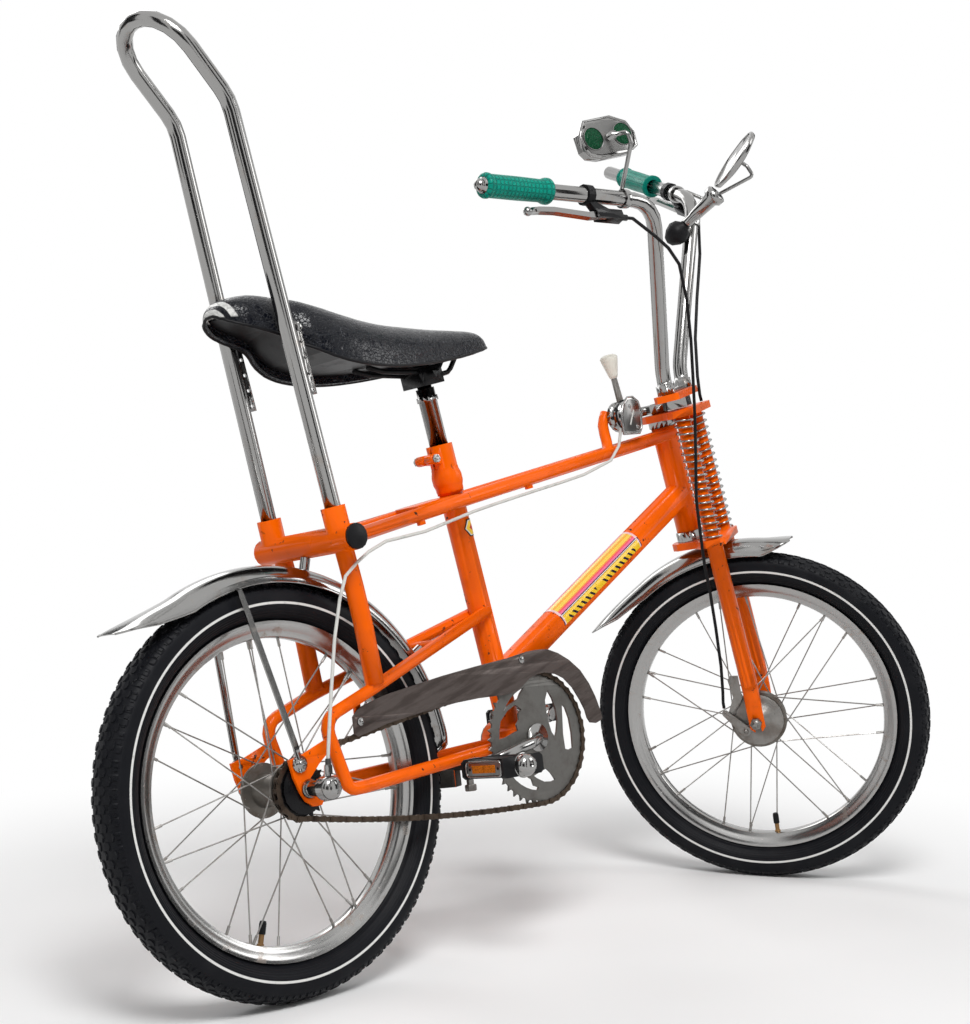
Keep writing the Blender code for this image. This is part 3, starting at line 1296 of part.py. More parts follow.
def rear_axle():
    inner, outer = DROPOUT_INNER, DROPOUT_INNER + DROPOUT_THICKNESS
    rod = cylinder((0, -outer + GAP, 0), (0, outer + 15, 0), AXLE_RADIUS, 12)
    cones = [cylinder((0, -(inner - GAP), 0), (0, -(inner - 2.5), 0), 7.5, 8),
             cylinder((0, inner - 6, 0), (0, inner - GAP, 0), 7.5, 8)]
    nut = plate(hex_points((0, 0), 9), 9, (0, outer + GAP + 4.5, 0))
    return join(rod, nut, *cones)


def stand_leg():
    """The stand's leg about its pivot: an eye on the pin, the rod and a rounded foot on the ground."""
    eye = turned([(bore(4, 12), -6), (STAND_HUB, -6), (STAND_HUB, 6), (bore(4, 12), 6)], 12, (0, 0, 0),
                 STAND_AXIS, ring=True)
    run = Vector(STAND_LEG).normalized()
    up = Vector((0, -math.sin(LEAN), math.cos(LEAN)))
    floor = ground_height()
    start = Vector(STAND_PIVOT).dot(up)
    length = (floor + STAND_ROD + 1.0 - start) / run.dot(up)
    rod = tube([tuple(run * 11), tuple(run * (length - 1))], STAND_ROD, 4)
    foot = ball(run * length, STAND_ROD + 1.0, 6)
    return join(eye, rod, foot)


def ground_height():
    """Height of the ground below the rear axle, square to the leaned bike's ground."""
    minor = WHEEL_RADIUS - (WHEEL_RADIUS - TYRE_HALF_WIDTH)
    return -((WHEEL_RADIUS - minor) * math.cos(LEAN) + minor)


def world_points(objects):
    graph = bpy.context.evaluated_depsgraph_get()
    graph.update()
    points = []
    for obj in objects:
        matrix = obj.matrix_world
        points += [matrix @ v.co for v in obj.evaluated_get(graph).data.vertices]
    return points


def stand_on_ground(bike, nodes):
    """Pitches the leaned bike until both tyres touch one level, then sets it down centred on the origin."""
    lean = Matrix.Rotation(-LEAN, 4, "X")
    pitch = 0.0
    for _ in range(4):
        bike.matrix_local = Matrix.Rotation(pitch, 4, "Y") @ lean
        bpy.context.view_layer.update()
        rear = min(world_points([nodes["rear_tyre"]]), key=lambda p: p.z)
        front = min(world_points([nodes["front_tyre"]]), key=lambda p: p.z)
        pitch += math.atan2(front.z - rear.z, front.x - rear.x)
    bpy.context.view_layer.update()
    points = world_points(nodes.values())
    low = Vector([min(p[i] for p in points) for i in range(3)])
    high = Vector([max(p[i] for p in points) for i in range(3)])
    shift = Matrix.Translation((-(low.x + high.x) / 2, -(low.y + high.y) / 2, -low.z))
    bike.matrix_local = shift @ bike.matrix_local


def build():
    for obj in list(bpy.data.objects):
        bpy.data.objects.remove(obj)

    bike = empty("bike")
    tilt = Matrix.Translation(vec((STEER_AXIS_X, 0, 0))) @ Matrix.Rotation(-RAKE, 4, "Y")
    steering = empty("steering", bike, tilt @ Matrix.Rotation(-STEER, 4, "Z"))
    head = empty("head_tube_frame", bike, tilt)
    front_wheel = empty("front_wheel", steering, Matrix.Translation(vec(FRONT_WHEEL)))
    rear_wheel = empty("rear_wheel", bike)
    crankset = empty("crankset", bike, Matrix.Translation(vec((BB_X, 0, BB_Z))))
    reach = Vector((math.cos(CRANK_ANGLE), 0, math.sin(CRANK_ANGLE))) * CRANK_LENGTH * MM
    pedals = {side: empty(f"pedal_pin_{name}", crankset, Matrix.Translation(-side * reach))
              for side, name in ((-1, "right"), (1, "left"))}
    stand = empty("stand_pivot", bike, Matrix.Translation(vec(STAND_PIVOT)))
    shifter = empty("shifter_pivot", bike, Matrix.Translation(vec(SHIFTER)))
    brake_pin = empty("brake_arm_pivot", front_wheel, Matrix.Translation(vec((BRAKE_PIN[0], 0, BRAKE_PIN[1]))))
    controls = {side: empty(f"controls_{name}", steering, control_frame(side))
                for side, name in ((-1, "right"), (1, "left"))}
    levers = {side: empty(f"lever_pivot_{name}", controls[side], Matrix.Translation(vec(LEVER_PIVOT)))
              for side, name in ((-1, "right"), (1, "left"))}
    mirror_foot = bar_at(-1, 254)[0] + Vector((0, 0, BAR_RADIUS + 1.0))
    oval_foot = bar_at(1, 262)[0] + Vector((BAR_RADIUS + 5.0, 0, 0))
    mirrors = {"octagon": empty("mirror_octagon_foot", steering, Matrix.Translation(vec(mirror_foot))),
               "oval": empty("mirror_oval_foot", steering, Matrix.Translation(vec(oval_foot)))}

    arm = brake_arm()
    arm.data.transform(Matrix.Translation(vec((-BRAKE_PIN[0], 0, -BRAKE_PIN[1]))))
    pieces = [
        ("main_frame", main_frame(), "orange", bike),
        ("headset_cup_upper", headset_cup(452, HEAD_HIGH + GAP, UPPER_CROWN[0] - GAP), "chrome", head),
        ("headset_cup_lower", headset_cup(308, HEAD_LOW - GAP, LOWER_CROWN[1] + GAP), "chrome", head),
        ("bb_cup_right", bottom_bracket_cup(-1), "steel", bike),
        ("bb_cup_left", bottom_bracket_cup(1), "steel", bike),
        ("seat_post", seat_post(), "chrome", bike),
        ("seat_post_bolt", pinch_bolt(), "black", bike),
        ("saddle_clamp", saddle_clamp(), "black", bike),
        ("seat_pan", seat_pan(), "black", bike),
        ("seat_cushion", seat_cushion(), "vinyl", bike),
        ("seat_bolt_right", seat_bolt(-1), "chrome", bike),
        ("seat_bolt_left", seat_bolt(1), "chrome", bike),
        ("sissy_bar", sissy_bar(), "chrome", bike),
        ("tube_plug", tube_plug(), "black", bike),
        ("rear_fender", rear_fender(), "chrome", bike),
        ("chain_guard", chain_guard(), "rust", bike),
        ("chain", chain(), "rust", bike),
        ("shifter_housing", shifter_housing(), "chrome", bike),
        ("shift_cable", cable(SHIFT_CABLE, 2.2), "white", bike),
        ("shift_box", shift_box(), "chrome", bike),
        ("rear_axle", rear_axle(), "steel", bike),
        ("shift_lever", shift_lever(), "steel", shifter),
        ("shift_knob", shift_knob(), "cream", shifter),
        ("kickstand_leg", stand_leg(), "steel", stand),
        ("rear_hub_and_spokes", hub_and_spokes(REAR_HUB, ((-29.5, 31), (29.5, 31))), "steel", rear_wheel),
        ("rear_rim", rim(), "chrome", rear_wheel),
        ("rear_tyre", tyre(), "rubber", rear_wheel),
        ("rear_sprocket", rear_sprocket(), "black", rear_wheel),
        ("chainring", chainring(), "steel", crankset),
        ("crank", crank(), "chrome", crankset),
        ("pedal_right", pedal(-1), "black", pedals[-1]),
        ("pedal_left", pedal(1), "black", pedals[1]),
        ("fork", fork(), "orange", steering),
        ("fork_upper_plate", upper_crown(), "orange", steering),
        ("fork_spring_right", fork_spring(-1), "chrome", steering),
        ("fork_spring_left", fork_spring(1), "chrome", steering),
        ("front_fender", front_fender(), "chrome", front_wheel),
        ("front_axle", axle(LEG_V - 3.1, LEG_V + 3.1), "steel", front_wheel),
        ("brake_plate", brake_plate(), "steel", front_wheel),
        ("brake_arm", arm, "steel", brake_pin),
        ("front_hub_and_spokes", hub_and_spokes(FRONT_HUB, ((-29.5, 40), (29.5, 22))), "steel", front_wheel),
        ("front_rim", rim(), "chrome", front_wheel),
        ("front_tyre", tyre(), "rubber", front_wheel),
        ("bar_clamp", bar_clamp(), "chrome", steering),
        ("bar_plate", bar_plate(), "orange", steering),
        ("handlebar", handlebar(), "chrome", steering),
        ("grip_right", grip(-1), "teal", steering),
        ("grip_left", grip(1), "teal", steering),
        ("brake_bracket_right", brake_bracket(-1), "black", controls[-1]),
        ("brake_bracket_left", brake_bracket(1), "black", controls[1]),
        ("brake_lever_right", brake_lever(-1), "chrome", levers[-1]),
        ("brake_lever_left", brake_lever(1), "chrome", levers[1]),
        ("front_brake_cable", cable(lever_port(-1) + FRONT_CABLE, 2.5), "black", steering),
        ("second_brake_cable", cable(lever_port(1) + REAR_CABLE, 2.5), "black", steering),
        ("mirror_octagon", mirror_octagon(), "chrome", mirrors["octagon"]),
        ("mirror_oval", mirror_oval(), "chrome", mirrors["oval"]),
        ("horn_trumpet", horn_trumpet(), "chrome", steering),
        ("horn_bulb", horn_bulb(), "black", steering),
    ]
    nodes = {name: node(name, solid, look, parent) for name, solid, look, parent in pieces}
    right_stay, left_stay = both(fender_stay)
    nodes["fender_stay_right"] = node("fender_stay_right", right_stay, "chrome", bike)
    nodes["fender_stay_left"] = node("fender_stay_left", left_stay, "chrome", bike)
    bpy.context.view_layer.update()
    stand_on_ground(bike, nodes)


build()
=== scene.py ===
"""Looks of a chopper bike that leans on its side stand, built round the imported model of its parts.

Sizes are millimetres in the bike's own frame: the rear axle's centre is the origin, X runs forward, Y to the
left and Z up. Pieces on the fork use the fork's frame: u forward, v left and w up along the steering axis.
"""

import json
import logging
import math
from abc import ABC, abstractmethod
from dataclasses import dataclass
from enum import Enum
from typing import Iterable, Optional, Sequence, Union

import bmesh
import bpy
from mathutils import Matrix, Vector

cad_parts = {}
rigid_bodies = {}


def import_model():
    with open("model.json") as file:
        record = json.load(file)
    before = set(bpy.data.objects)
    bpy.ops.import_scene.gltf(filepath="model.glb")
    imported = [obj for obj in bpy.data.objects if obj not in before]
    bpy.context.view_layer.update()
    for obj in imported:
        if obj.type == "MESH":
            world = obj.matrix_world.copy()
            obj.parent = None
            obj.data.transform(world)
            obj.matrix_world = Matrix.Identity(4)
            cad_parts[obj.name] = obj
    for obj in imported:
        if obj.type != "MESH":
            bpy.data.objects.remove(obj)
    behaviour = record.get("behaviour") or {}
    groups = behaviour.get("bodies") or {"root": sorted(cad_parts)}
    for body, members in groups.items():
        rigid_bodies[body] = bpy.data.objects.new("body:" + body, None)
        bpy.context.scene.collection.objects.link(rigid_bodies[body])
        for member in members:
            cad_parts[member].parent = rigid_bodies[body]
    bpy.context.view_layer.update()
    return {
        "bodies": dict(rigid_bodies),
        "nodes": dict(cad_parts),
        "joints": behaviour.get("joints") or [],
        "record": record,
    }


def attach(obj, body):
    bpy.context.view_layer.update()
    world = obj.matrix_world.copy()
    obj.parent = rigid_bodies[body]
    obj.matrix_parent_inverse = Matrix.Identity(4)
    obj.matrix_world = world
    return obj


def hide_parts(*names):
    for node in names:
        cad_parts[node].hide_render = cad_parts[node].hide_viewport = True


LOG = logging.getLogger("chopper")
MM = 0.001
Colour = tuple[float, float, float]
Path = list[Vector]


class Body(str, Enum):
    """The moving bodies that pieces ride on."""

    FRAME = "frame_assembly"
    STEERING = "steering_assembly"
    FRONT_WHEEL = "front_wheel"
    REAR_WHEEL = "rear_wheel"
    SPROCKET = "rear_sprocket"
    CRANK = "crankset"
    PEDAL_RIGHT = "pedal_right"
    PEDAL_LEFT = "pedal_left"
    STAND = "side_stand"
    GEAR_LEVER = "gear_lever"
    LEVER_RIGHT = "brake_lever_right"
    LEVER_LEFT = "brake_lever_left"
    BRAKE_ARM = "brake_arm"
    MIRROR_OCTAGON = "mirror_octagon"
    MIRROR_OVAL = "mirror_oval"


class Shade:
    """A value in a material's nodes that sums and products can be written with."""

    def __init__(self, recipe: "Recipe", socket: bpy.types.NodeSocket) -> None:
        """Holds an output socket and the recipe that it belongs to."""
        self.recipe = recipe
        self.socket = socket

    def __add__(self, other: "Value") -> "Shade":
        """The sum."""
        return self.recipe.maths("ADD", self, other)

    __radd__ = __add__

    def __mul__(self, other: "Value") -> "Shade":
        """The product."""
        return self.recipe.maths("MULTIPLY", self, other)

    __rmul__ = __mul__

    def __sub__(self, other: "Value") -> "Shade":
        """The difference."""
        return self.recipe.maths("SUBTRACT", self, other)

    def __rsub__(self, other: "Value") -> "Shade":
        """The difference from a number."""
        return self.recipe.maths("SUBTRACT", other, self)

    def __abs__(self) -> "Shade":
        """The size without its sign."""
        return self.recipe.maths("ABSOLUTE", self)

    def between(self, low: float, high: float) -> "Shade":
        """A smooth step that is 0 at low and 1 at high.

        Args:
            low: The value where the step starts.
            high: The value where it ends, which may be the smaller one.

        Returns:
            The stepped value.
        """
        start, stop = (low, high) if low < high else (high, low)
        step = self.recipe.node("ShaderNodeMapRange", {"interpolation_type": "SMOOTHSTEP"},
                                {"Value": self, "From Min": start, "From Max": stop})
        return step if low < high else 1.0 - step

    def wave(self, count: float) -> "Shade":
        """A sine of the value that runs from 0 to 1, with the given number of waves in one unit."""
        return self.recipe.maths("SINE", self * (count * 2 * math.pi)) * 0.5 + 0.5


Value = Union[float, Colour, Vector, Shade]


class Recipe:
    """One material and the nodes that are added to it."""

    def __init__(self, name: str) -> None:
        """Starts a material with its shader.

        Args:
            name: The material's name.
        """
        self.material = bpy.data.materials.new(name)
        self.material.use_nodes = True
        self.tree = self.material.node_tree
        self.surface = self.tree.nodes["Principled BSDF"]

    def node(self, kind: str, settings: dict, inputs: dict, output: Union[int, str] = 0) -> Shade:
        """Adds a node.

        Args:
            kind: The node's type.
            settings: Its own settings, set before its sockets.
            inputs: Values or links of its sockets, by name or number.
            output: The output that is wanted.

        Returns:
            The output.
        """
        node = self.tree.nodes.new(kind)
        for name, value in settings.items():
            if name == "stops":
                self.set_stops(node, value)
            else:
                setattr(node, name, value)
        for name, value in inputs.items():
            self.feed(node.inputs[name], value)
        return Shade(self, node.outputs[output])

    @staticmethod
    def set_stops(node: bpy.types.Node, stops: Sequence[tuple[float, Colour]]) -> None:
        """Sets the colours of a ramp.

        Args:
            node: The ramp.
            stops: The place and the colour of each stop.
        """
        ramp = node.color_ramp
        ramp.interpolation = "CONSTANT"
        while len(ramp.elements) < len(stops):
            ramp.elements.new(1.0)
        for element, (place, colour) in zip(ramp.elements, stops):
            element.position = place
            element.color = (*colour, 1.0)

    def feed(self, socket: bpy.types.NodeSocket, value: Value) -> None:
        """Links or sets one socket.

        Args:
            socket: The input.
            value: The link or the value that it gets.
        """
        if isinstance(value, Shade):
            self.tree.links.new(value.socket, socket)
        elif isinstance(value, (int, float)):
            socket.default_value = value
        elif socket.type == "RGBA":
            socket.default_value = (*value, 1.0)
        else:
            socket.default_value = value

    def maths(self, operation: str, *values: Value) -> Shade:
        """Adds a Math node."""
        return self.node("ShaderNodeMath", {"operation": operation}, dict(enumerate(values)))

    def place(self, frame: Optional[Matrix] = None) -> Shade:
        """The place on the piece in metres, in a frame's own axes where one is given.

        Args:
            frame: The frame, or None for the piece's own axes.

        Returns:
            The place.
        """
        at = self.node("ShaderNodeTexCoord", {}, {}, "Object")
        if frame is None:
            return at
        return self.node("ShaderNodeMapping", {"vector_type": "TEXTURE"},
                         {"Vector": at, "Location": frame.translation, "Rotation": Vector(frame.to_euler())})

    def split(self, vector: Shade) -> tuple[Shade, Shade, Shade]:
        """The three parts of a vector.

        Args:
            vector: The vector.

        Returns:
            Its X, Y and Z.
        """
        first = self.node("ShaderNodeSeparateXYZ", {}, {"Vector": vector})
        outputs = first.socket.node.outputs
        return Shade(self, outputs[0]), Shade(self, outputs[1]), Shade(self, outputs[2])

    def noise(self, scale: float, detail: float = 3.0, at: Optional[Shade] = None) -> Shade:
        """Cloudy noise, with its scale in waves per metre."""
        return self.node("ShaderNodeTexNoise", {}, {"Vector": at or self.place(), "Scale": scale,
                                                    "Detail": detail, "Roughness": 0.6})

    def cells(self, scale: float, at: Optional[Shade] = None) -> Shade:
        """The distance to the edge of the nearest cell."""
        return self.node("ShaderNodeTexVoronoi", {"feature": "DISTANCE_TO_EDGE"},
                         {"Vector": at or self.place(), "Scale": scale})

    def blend(self, share: Value, first: Value, second: Value) -> Shade:
        """A colour between two colours."""
        return self.node("ShaderNodeMix", {"data_type": "RGBA"}, {0: share, 6: first, 7: second}, 2)

    def finish(self, colour: Value, roughness: Value, height: Optional[Shade] = None,
               depth: float = 0.0003) -> None:
        """Feeds the shader's colour, its roughness and the bump of a height in metres.

        Args:
            colour: The base colour.
            roughness: The roughness.
            height: The height of the bump, if there is one.
            depth: What a height of 1 stands for, in metres.
        """
        self.feed(self.surface.inputs["Base Color"], colour)
        self.feed(self.surface.inputs["Roughness"], roughness)
        if height is not None:
            bump = self.node("ShaderNodeBump", {}, {"Strength": 1.0, "Distance": depth, "Height": height})
            self.feed(self.surface.inputs["Normal"], bump)

    def set(self, **values: Value) -> None:
        """Sets or links other sockets of the shader, with their names in lower case and underscores."""
        for name, value in values.items():
            self.feed(self.surface.inputs[name.replace("_", " ").title().replace("Ior", "IOR")], value)


@dataclass(frozen=True)
class Finish(ABC):
    """A finish that pieces take."""

    name: str
    slot: str

    @abstractmethod
    def mix(self, recipe: Recipe) -> None:
        """Fills the recipe's nodes."""

    def material(self) -> bpy.types.Material:
        """The finish's material, made once.

        Returns:
            The material.
        """
        made = bpy.data.materials.get(self.name)
        if made is None:
            recipe = Recipe(self.name)
            self.mix(recipe)
            made = recipe.material
        return made


@dataclass(frozen=True)
class Enamel(Finish):
    """Old gloss paint with small chips."""

    colour: Colour = (0.93, 0.128, 0.0005)
    chips: float = 1.0

    def mix(self, recipe: Recipe) -> None:
        """Paint that is duller in patches and chipped to the primer in spots.

        Args:
            recipe: The material's recipe.
        """
        broad = recipe.noise(7, 3)
        chip = recipe.noise(95, 6).between(0.63, 0.67) * recipe.noise(13, 2).between(0.50, 0.58) * self.chips
        grime = recipe.noise(24, 5).between(0.55, 0.78) * 0.35
        deep = tuple(channel * 0.70 for channel in self.colour)
        colour = recipe.blend(broad.between(0.35, 0.75) * 0.5, self.colour, deep)
        colour = recipe.blend(grime, colour, (0.36, 0.045, 0.003))
        colour = recipe.blend(chip, colour, (0.045, 0.02, 0.012))
        recipe.finish(colour, 0.20 + broad * 0.16 + chip * 0.4, recipe.noise(420, 2) * 0.12 - chip, 0.0002)
        recipe.set(coat_weight=0.07, coat_roughness=0.04, specular_ior_level=0.1)


@dataclass(frozen=True)
class Chrome(Finish):
    """Worn chrome plate with pits and a brown bloom."""

    shade: float = 0.32
    roughness: float = 0.08
    bloom: float = 0.35

    def mix(self, recipe: Recipe) -> None:
        """Plate that is cloudy in patches, with rust in its pits.

        Args:
            recipe: The material's recipe.
        """
        cloud = recipe.noise(16, 5)
        pit = recipe.noise(480, 3).between(0.66, 0.74) * recipe.noise(30, 3).between(0.48, 0.62)
        bloom = recipe.noise(42, 6).between(0.56, 0.74) * self.bloom
        plate = (self.shade, self.shade * 0.99, self.shade * 0.97)
        colour = recipe.blend(bloom, plate, (0.30, 0.23, 0.18))
        colour = recipe.blend(pit * 0.8, colour, (0.13, 0.07, 0.04))
        recipe.finish(colour, self.roughness + cloud * 0.12 + bloom * 0.3 + pit * 0.4,
                      recipe.noise(60, 3) * 0.5 - pit, 0.00012)
        recipe.set(metallic=1.0 - pit * 0.7)


@dataclass(frozen=True)
class Steel(Finish):
    """Bare or plated steel gone dull, from light grey to brown."""

    colour: Colour = (0.36, 0.35, 0.33)
    stain: Colour = (0.16, 0.11, 0.08)
    stained: float = 0.5
    roughness: float = 0.34
    streak: Optional[Matrix] = None

    def mix(self, recipe: Recipe) -> None:
        """Steel with stains and fine scratches, drawn out along a frame's X where one is given.

        Args:
            recipe: The material's recipe.
        """
        stain = recipe.noise(36, 6).between(0.42, 0.68) * self.stained
        if self.streak is not None:
            along, _, up = recipe.split(recipe.place(self.streak))
            drawn = recipe.node("ShaderNodeCombineXYZ", {},
                                {"X": along * 0.16, "Y": 0.0, "Z": up - along * 0.31})
            stain = recipe.noise(75, 7, drawn).between(0.40, 0.62) * self.stained
        grain = recipe.noise(700, 2)
        colour = recipe.blend(stain, self.colour, self.stain)
        colour = recipe.blend(recipe.noise(150, 4).between(0.6, 0.75) * 0.4, colour, (0.10, 0.08, 0.07))
        recipe.finish(colour, self.roughness + stain * 0.25 + grain * 0.08,
                      grain + recipe.noise(90, 4) * 2, 0.00015)
        recipe.set(metallic=0.9 - stain * 0.35, specular_ior_level=0.3)


@dataclass(frozen=True)
class Tyre(Finish):
    """Black tyre rubber with a white line on each side, about a wheel's axle."""

    frame: Optional[Matrix] = None
    line: float = 0.2285

    def mix(self, recipe: Recipe) -> None:
        """Rubber that is greyer where it is scuffed, with the line at its radius.

        Args:
            recipe: The material's recipe.
        """
        at = recipe.place(self.frame)
        across, _, up = recipe.split(at)
        radius = recipe.maths("SQRT", across * across + up * up)
        white = radius.between(self.line - 0.0018, self.line - 0.0012) * radius.between(self.line + 0.0018,
                                                                                       self.line + 0.0012)
        worn = recipe.noise(120, 4)
        dust = recipe.noise(18, 4).between(0.45, 0.75) * 0.5
        colour = recipe.blend(dust * worn, (0.0055, 0.006, 0.008), (0.026, 0.026, 0.028))
        chalk = recipe.blend(worn.between(0.55, 0.8) * 0.6, (0.70, 0.70, 0.68), (0.30, 0.30, 0.29))
        colour = recipe.blend(white, colour, chalk)
        angle = recipe.maths("ARCTAN2", up, across)
        ribs = angle.wave(96 / (2 * math.pi)).between(0.3, 0.7)
        ribs = ribs * radius.between(0.243, 0.245) * radius.between(0.2525, 0.2515)
        rings = radius.wave(330).between(0.2, 0.8) * radius.between(0.226, 0.224) * 0.25
        recipe.finish(colour, 0.36 + worn * 0.2 + dust * 0.2, ribs * 0.6 + rings + worn * 0.12, 0.0012)
        recipe.set(specular_ior_level=0.12)


@dataclass(frozen=True)
class SeatVinyl(Finish):
    """Black seat vinyl with a pressed grain, scuffs and two white bands at the back."""

    frame: Optional[Matrix] = None

    def mix(self, recipe: Recipe) -> None:
        """Vinyl whose grain stands out, scuffed pale on its edges.

        Args:
            recipe: The material's recipe.
        """
        at = recipe.place(self.frame)
        along, _, up = recipe.split(at)
        slant = along + up * 0.35
        bands = slant.between(0.1745, 0.1755) * slant.between(0.1800, 0.1790)
        bands = bands + slant.between(0.1845, 0.1855) * slant.between(0.1925, 0.1915)
        bands = bands * up.between(0.583, 0.586)
        warp = recipe.noise(70, 3)
        grain = recipe.cells(210, at).between(0.0, 0.10)
        crease = recipe.cells(75).between(0.0, 0.035)
        scuff = recipe.noise(230, 5).between(0.60, 0.70) * recipe.noise(22, 3).between(0.45, 0.60)
        colour = recipe.blend(scuff * 0.45, (0.0022, 0.003, 0.0065), (0.13, 0.14, 0.16))
        colour = recipe.blend((1.0 - crease) * 0.4, colour, (0.026, 0.032, 0.046))
        colour = recipe.blend(bands * (1.0 - scuff * 0.7), colour, (0.68, 0.68, 0.66))
        recipe.finish(colour, 0.13 + warp * 0.14 + scuff * 0.25,
                      grain * 0.5 + crease * 0.7 + warp * 0.9, 0.0011)
        recipe.set(specular_ior_level=0.3)


@dataclass(frozen=True)
class Moulded(Finish):
    """A moulded plastic or rubber in one colour."""

    colour: Colour = (0.012, 0.012, 0.013)
    roughness: float = 0.4
    grain: float = 500.0
    dirt: float = 0.4

    def mix(self, recipe: Recipe) -> None:
        """A colour with a fine grain and a little dirt.

        Args:
            recipe: The material's recipe.
        """
        dirt = recipe.noise(45, 5).between(0.5, 0.75) * self.dirt
        grain = recipe.noise(self.grain, 3)
        soil = tuple(channel * 0.55 + 0.01 for channel in self.colour)
        colour = recipe.blend(dirt, self.colour, soil)
        recipe.finish(colour, self.roughness + dirt * 0.25 + grain * 0.08, grain, 0.00015)
        recipe.set(specular_ior_level=0.16)


@dataclass(frozen=True)
class GripRubber(Finish):
    """Green rubber with a pressed pattern of small bricks, about a grip's axis."""

    frame: Optional[Matrix] = None
    colour: Colour = (0.0, 0.27, 0.195)

    def mix(self, recipe: Recipe) -> None:
        """Rubber with the pattern as its bump, and painted shade that darkens the grooves between the bricks.

        Args:
            recipe: The material's recipe.
        """
        at = recipe.place(self.frame)
        first, second, along = recipe.split(at)
        angle = recipe.maths("ARCTAN2", second, first)
        bricks = angle.wave(14 / (2 * math.pi)).between(0.02, 0.22) * along.wave(150).between(0.02, 0.25)
        wear = recipe.noise(130, 5)
        colour = recipe.blend(wear.between(0.45, 0.7) * 0.5, self.colour, (0.0, 0.12, 0.095))
        # Painted shade: the grooves between the raised bricks are darkened towards a deeper green.
        colour = recipe.blend((1.0 - bricks) * 0.5, colour, (0.0, 0.10, 0.08))
        recipe.finish(colour, 0.28 + wear * 0.2, bricks + wear * 0.3, 0.0012)
        recipe.set(specular_ior_level=0.16)


@dataclass(frozen=True)
class Lens(Finish):
    """A coloured reflector with prisms behind its face."""

    colour: Colour = (0.0, 0.12, 0.04)

    def mix(self, recipe: Recipe) -> None:
        """Glossy plastic with prism cells in its bump, and painted glints: the cells' edges are painted
        brighter than their middles.

        Args:
            recipe: The material's recipe.
        """
        cell = recipe.cells(430).between(0.0, 0.25)
        # Painted glints: the prisms' facets are shown as cell edges painted brighter than the lens colour.
        bright = tuple(min(1.0, channel * 2.2 + 0.01) for channel in self.colour)
        recipe.finish(recipe.blend(cell, bright, self.colour), 0.14, cell, 0.0003)
        recipe.set(specular_ior_level=0.07)


@dataclass(frozen=True)
class Looking(Finish):
    """Silvered mirror glass with a little dust."""

    def mix(self, recipe: Recipe) -> None:
        """A near perfect mirror.

        Args:
            recipe: The material's recipe.
        """
        dust = recipe.noise(60, 5).between(0.5, 0.8)
        recipe.finish(recipe.blend(dust * 0.3, (0.86, 0.88, 0.90), (0.55, 0.55, 0.55)), 0.03 + dust * 0.12)
        recipe.set(metallic=1.0)


@dataclass(frozen=True)
class Transfer(Finish):
    """A printed transfer on a tube: pale and pink stripes over a yellow panel with plain dashes."""

    frame: Optional[Matrix] = None
    length: float = 0.212

    def mix(self, recipe: Recipe) -> None:
        """Stripes by the angle round the tube, dashes along it, and worn spots.

        Args:
            recipe: The material's recipe.
        """
        along, side, up = recipe.split(recipe.place(self.frame))
        angle = recipe.maths("ARCTAN2", up, abs(side)) * (180 / math.pi)
        stripes = self.ramp(recipe, (angle + 70.0) * (1 / 160.0))
        slanted = along - angle * 0.00032
        mark = (abs(angle - 14.0) - 13.0).between(1.0, 0.0) * slanted.wave(86).between(0.60, 0.66)
        inside = (along - 0.017).between(0.0, 0.0006) * (along - (self.length - 0.015)).between(0.0006, 0.0)
        mark = mark * inside * along.wave(6.5).between(0.02, 0.05)
        colour = recipe.blend(mark, stripes, (0.02, 0.012, 0.02))
        middle_out = abs(along - self.length / 2)
        pale = middle_out.between(self.length / 2 - 0.0045, self.length / 2 - 0.0040)
        colour = recipe.blend(pale, colour, (0.80, 0.55, 0.56))
        edge = middle_out.between(self.length / 2 - 0.0020, self.length / 2 - 0.0016)
        colour = recipe.blend(edge * angle.between(50.0, 46.0), colour, (0.03, 0.012, 0.05))
        worn = recipe.noise(120, 6).between(0.69, 0.72)
        colour = recipe.blend(worn, colour, (0.80, 0.62, 0.50))
        recipe.finish(colour, 0.26 + worn * 0.2, recipe.noise(380, 2), 0.0001)
        recipe.set(coat_weight=0.2, coat_roughness=0.08, specular_ior_level=0.3)

    @staticmethod
    def ramp(recipe: Recipe, share: Shade) -> Shade:
        """The bands of colour from the panel's lower edge to the tube's top.

        Args:
            recipe: The material's recipe.
            share: The place across the bands, from 0 to 1.

        Returns:
            The colour.
        """
        bands = [(-70.0, (0.84, 0.53, 0.02)), (40.5, (0.03, 0.012, 0.05)),
                 (42.4, (0.80, 0.74, 0.66)), (45.2, (0.035, 0.014, 0.075)), (49.5, (0.80, 0.16, 0.30)),
                 (58.0, (0.80, 0.09, 0.13)), (65.0, (0.84, 0.30, 0.06)), (70.0, (0.86, 0.62, 0.10)),
                 (84.0, (0.86, 0.42, 0.05))]
        stops = [((degrees + 70.0) / 160.0, colour) for degrees, colour in bands]
        return recipe.node("ShaderNodeValToRGB", {"stops": stops}, {"Fac": share})


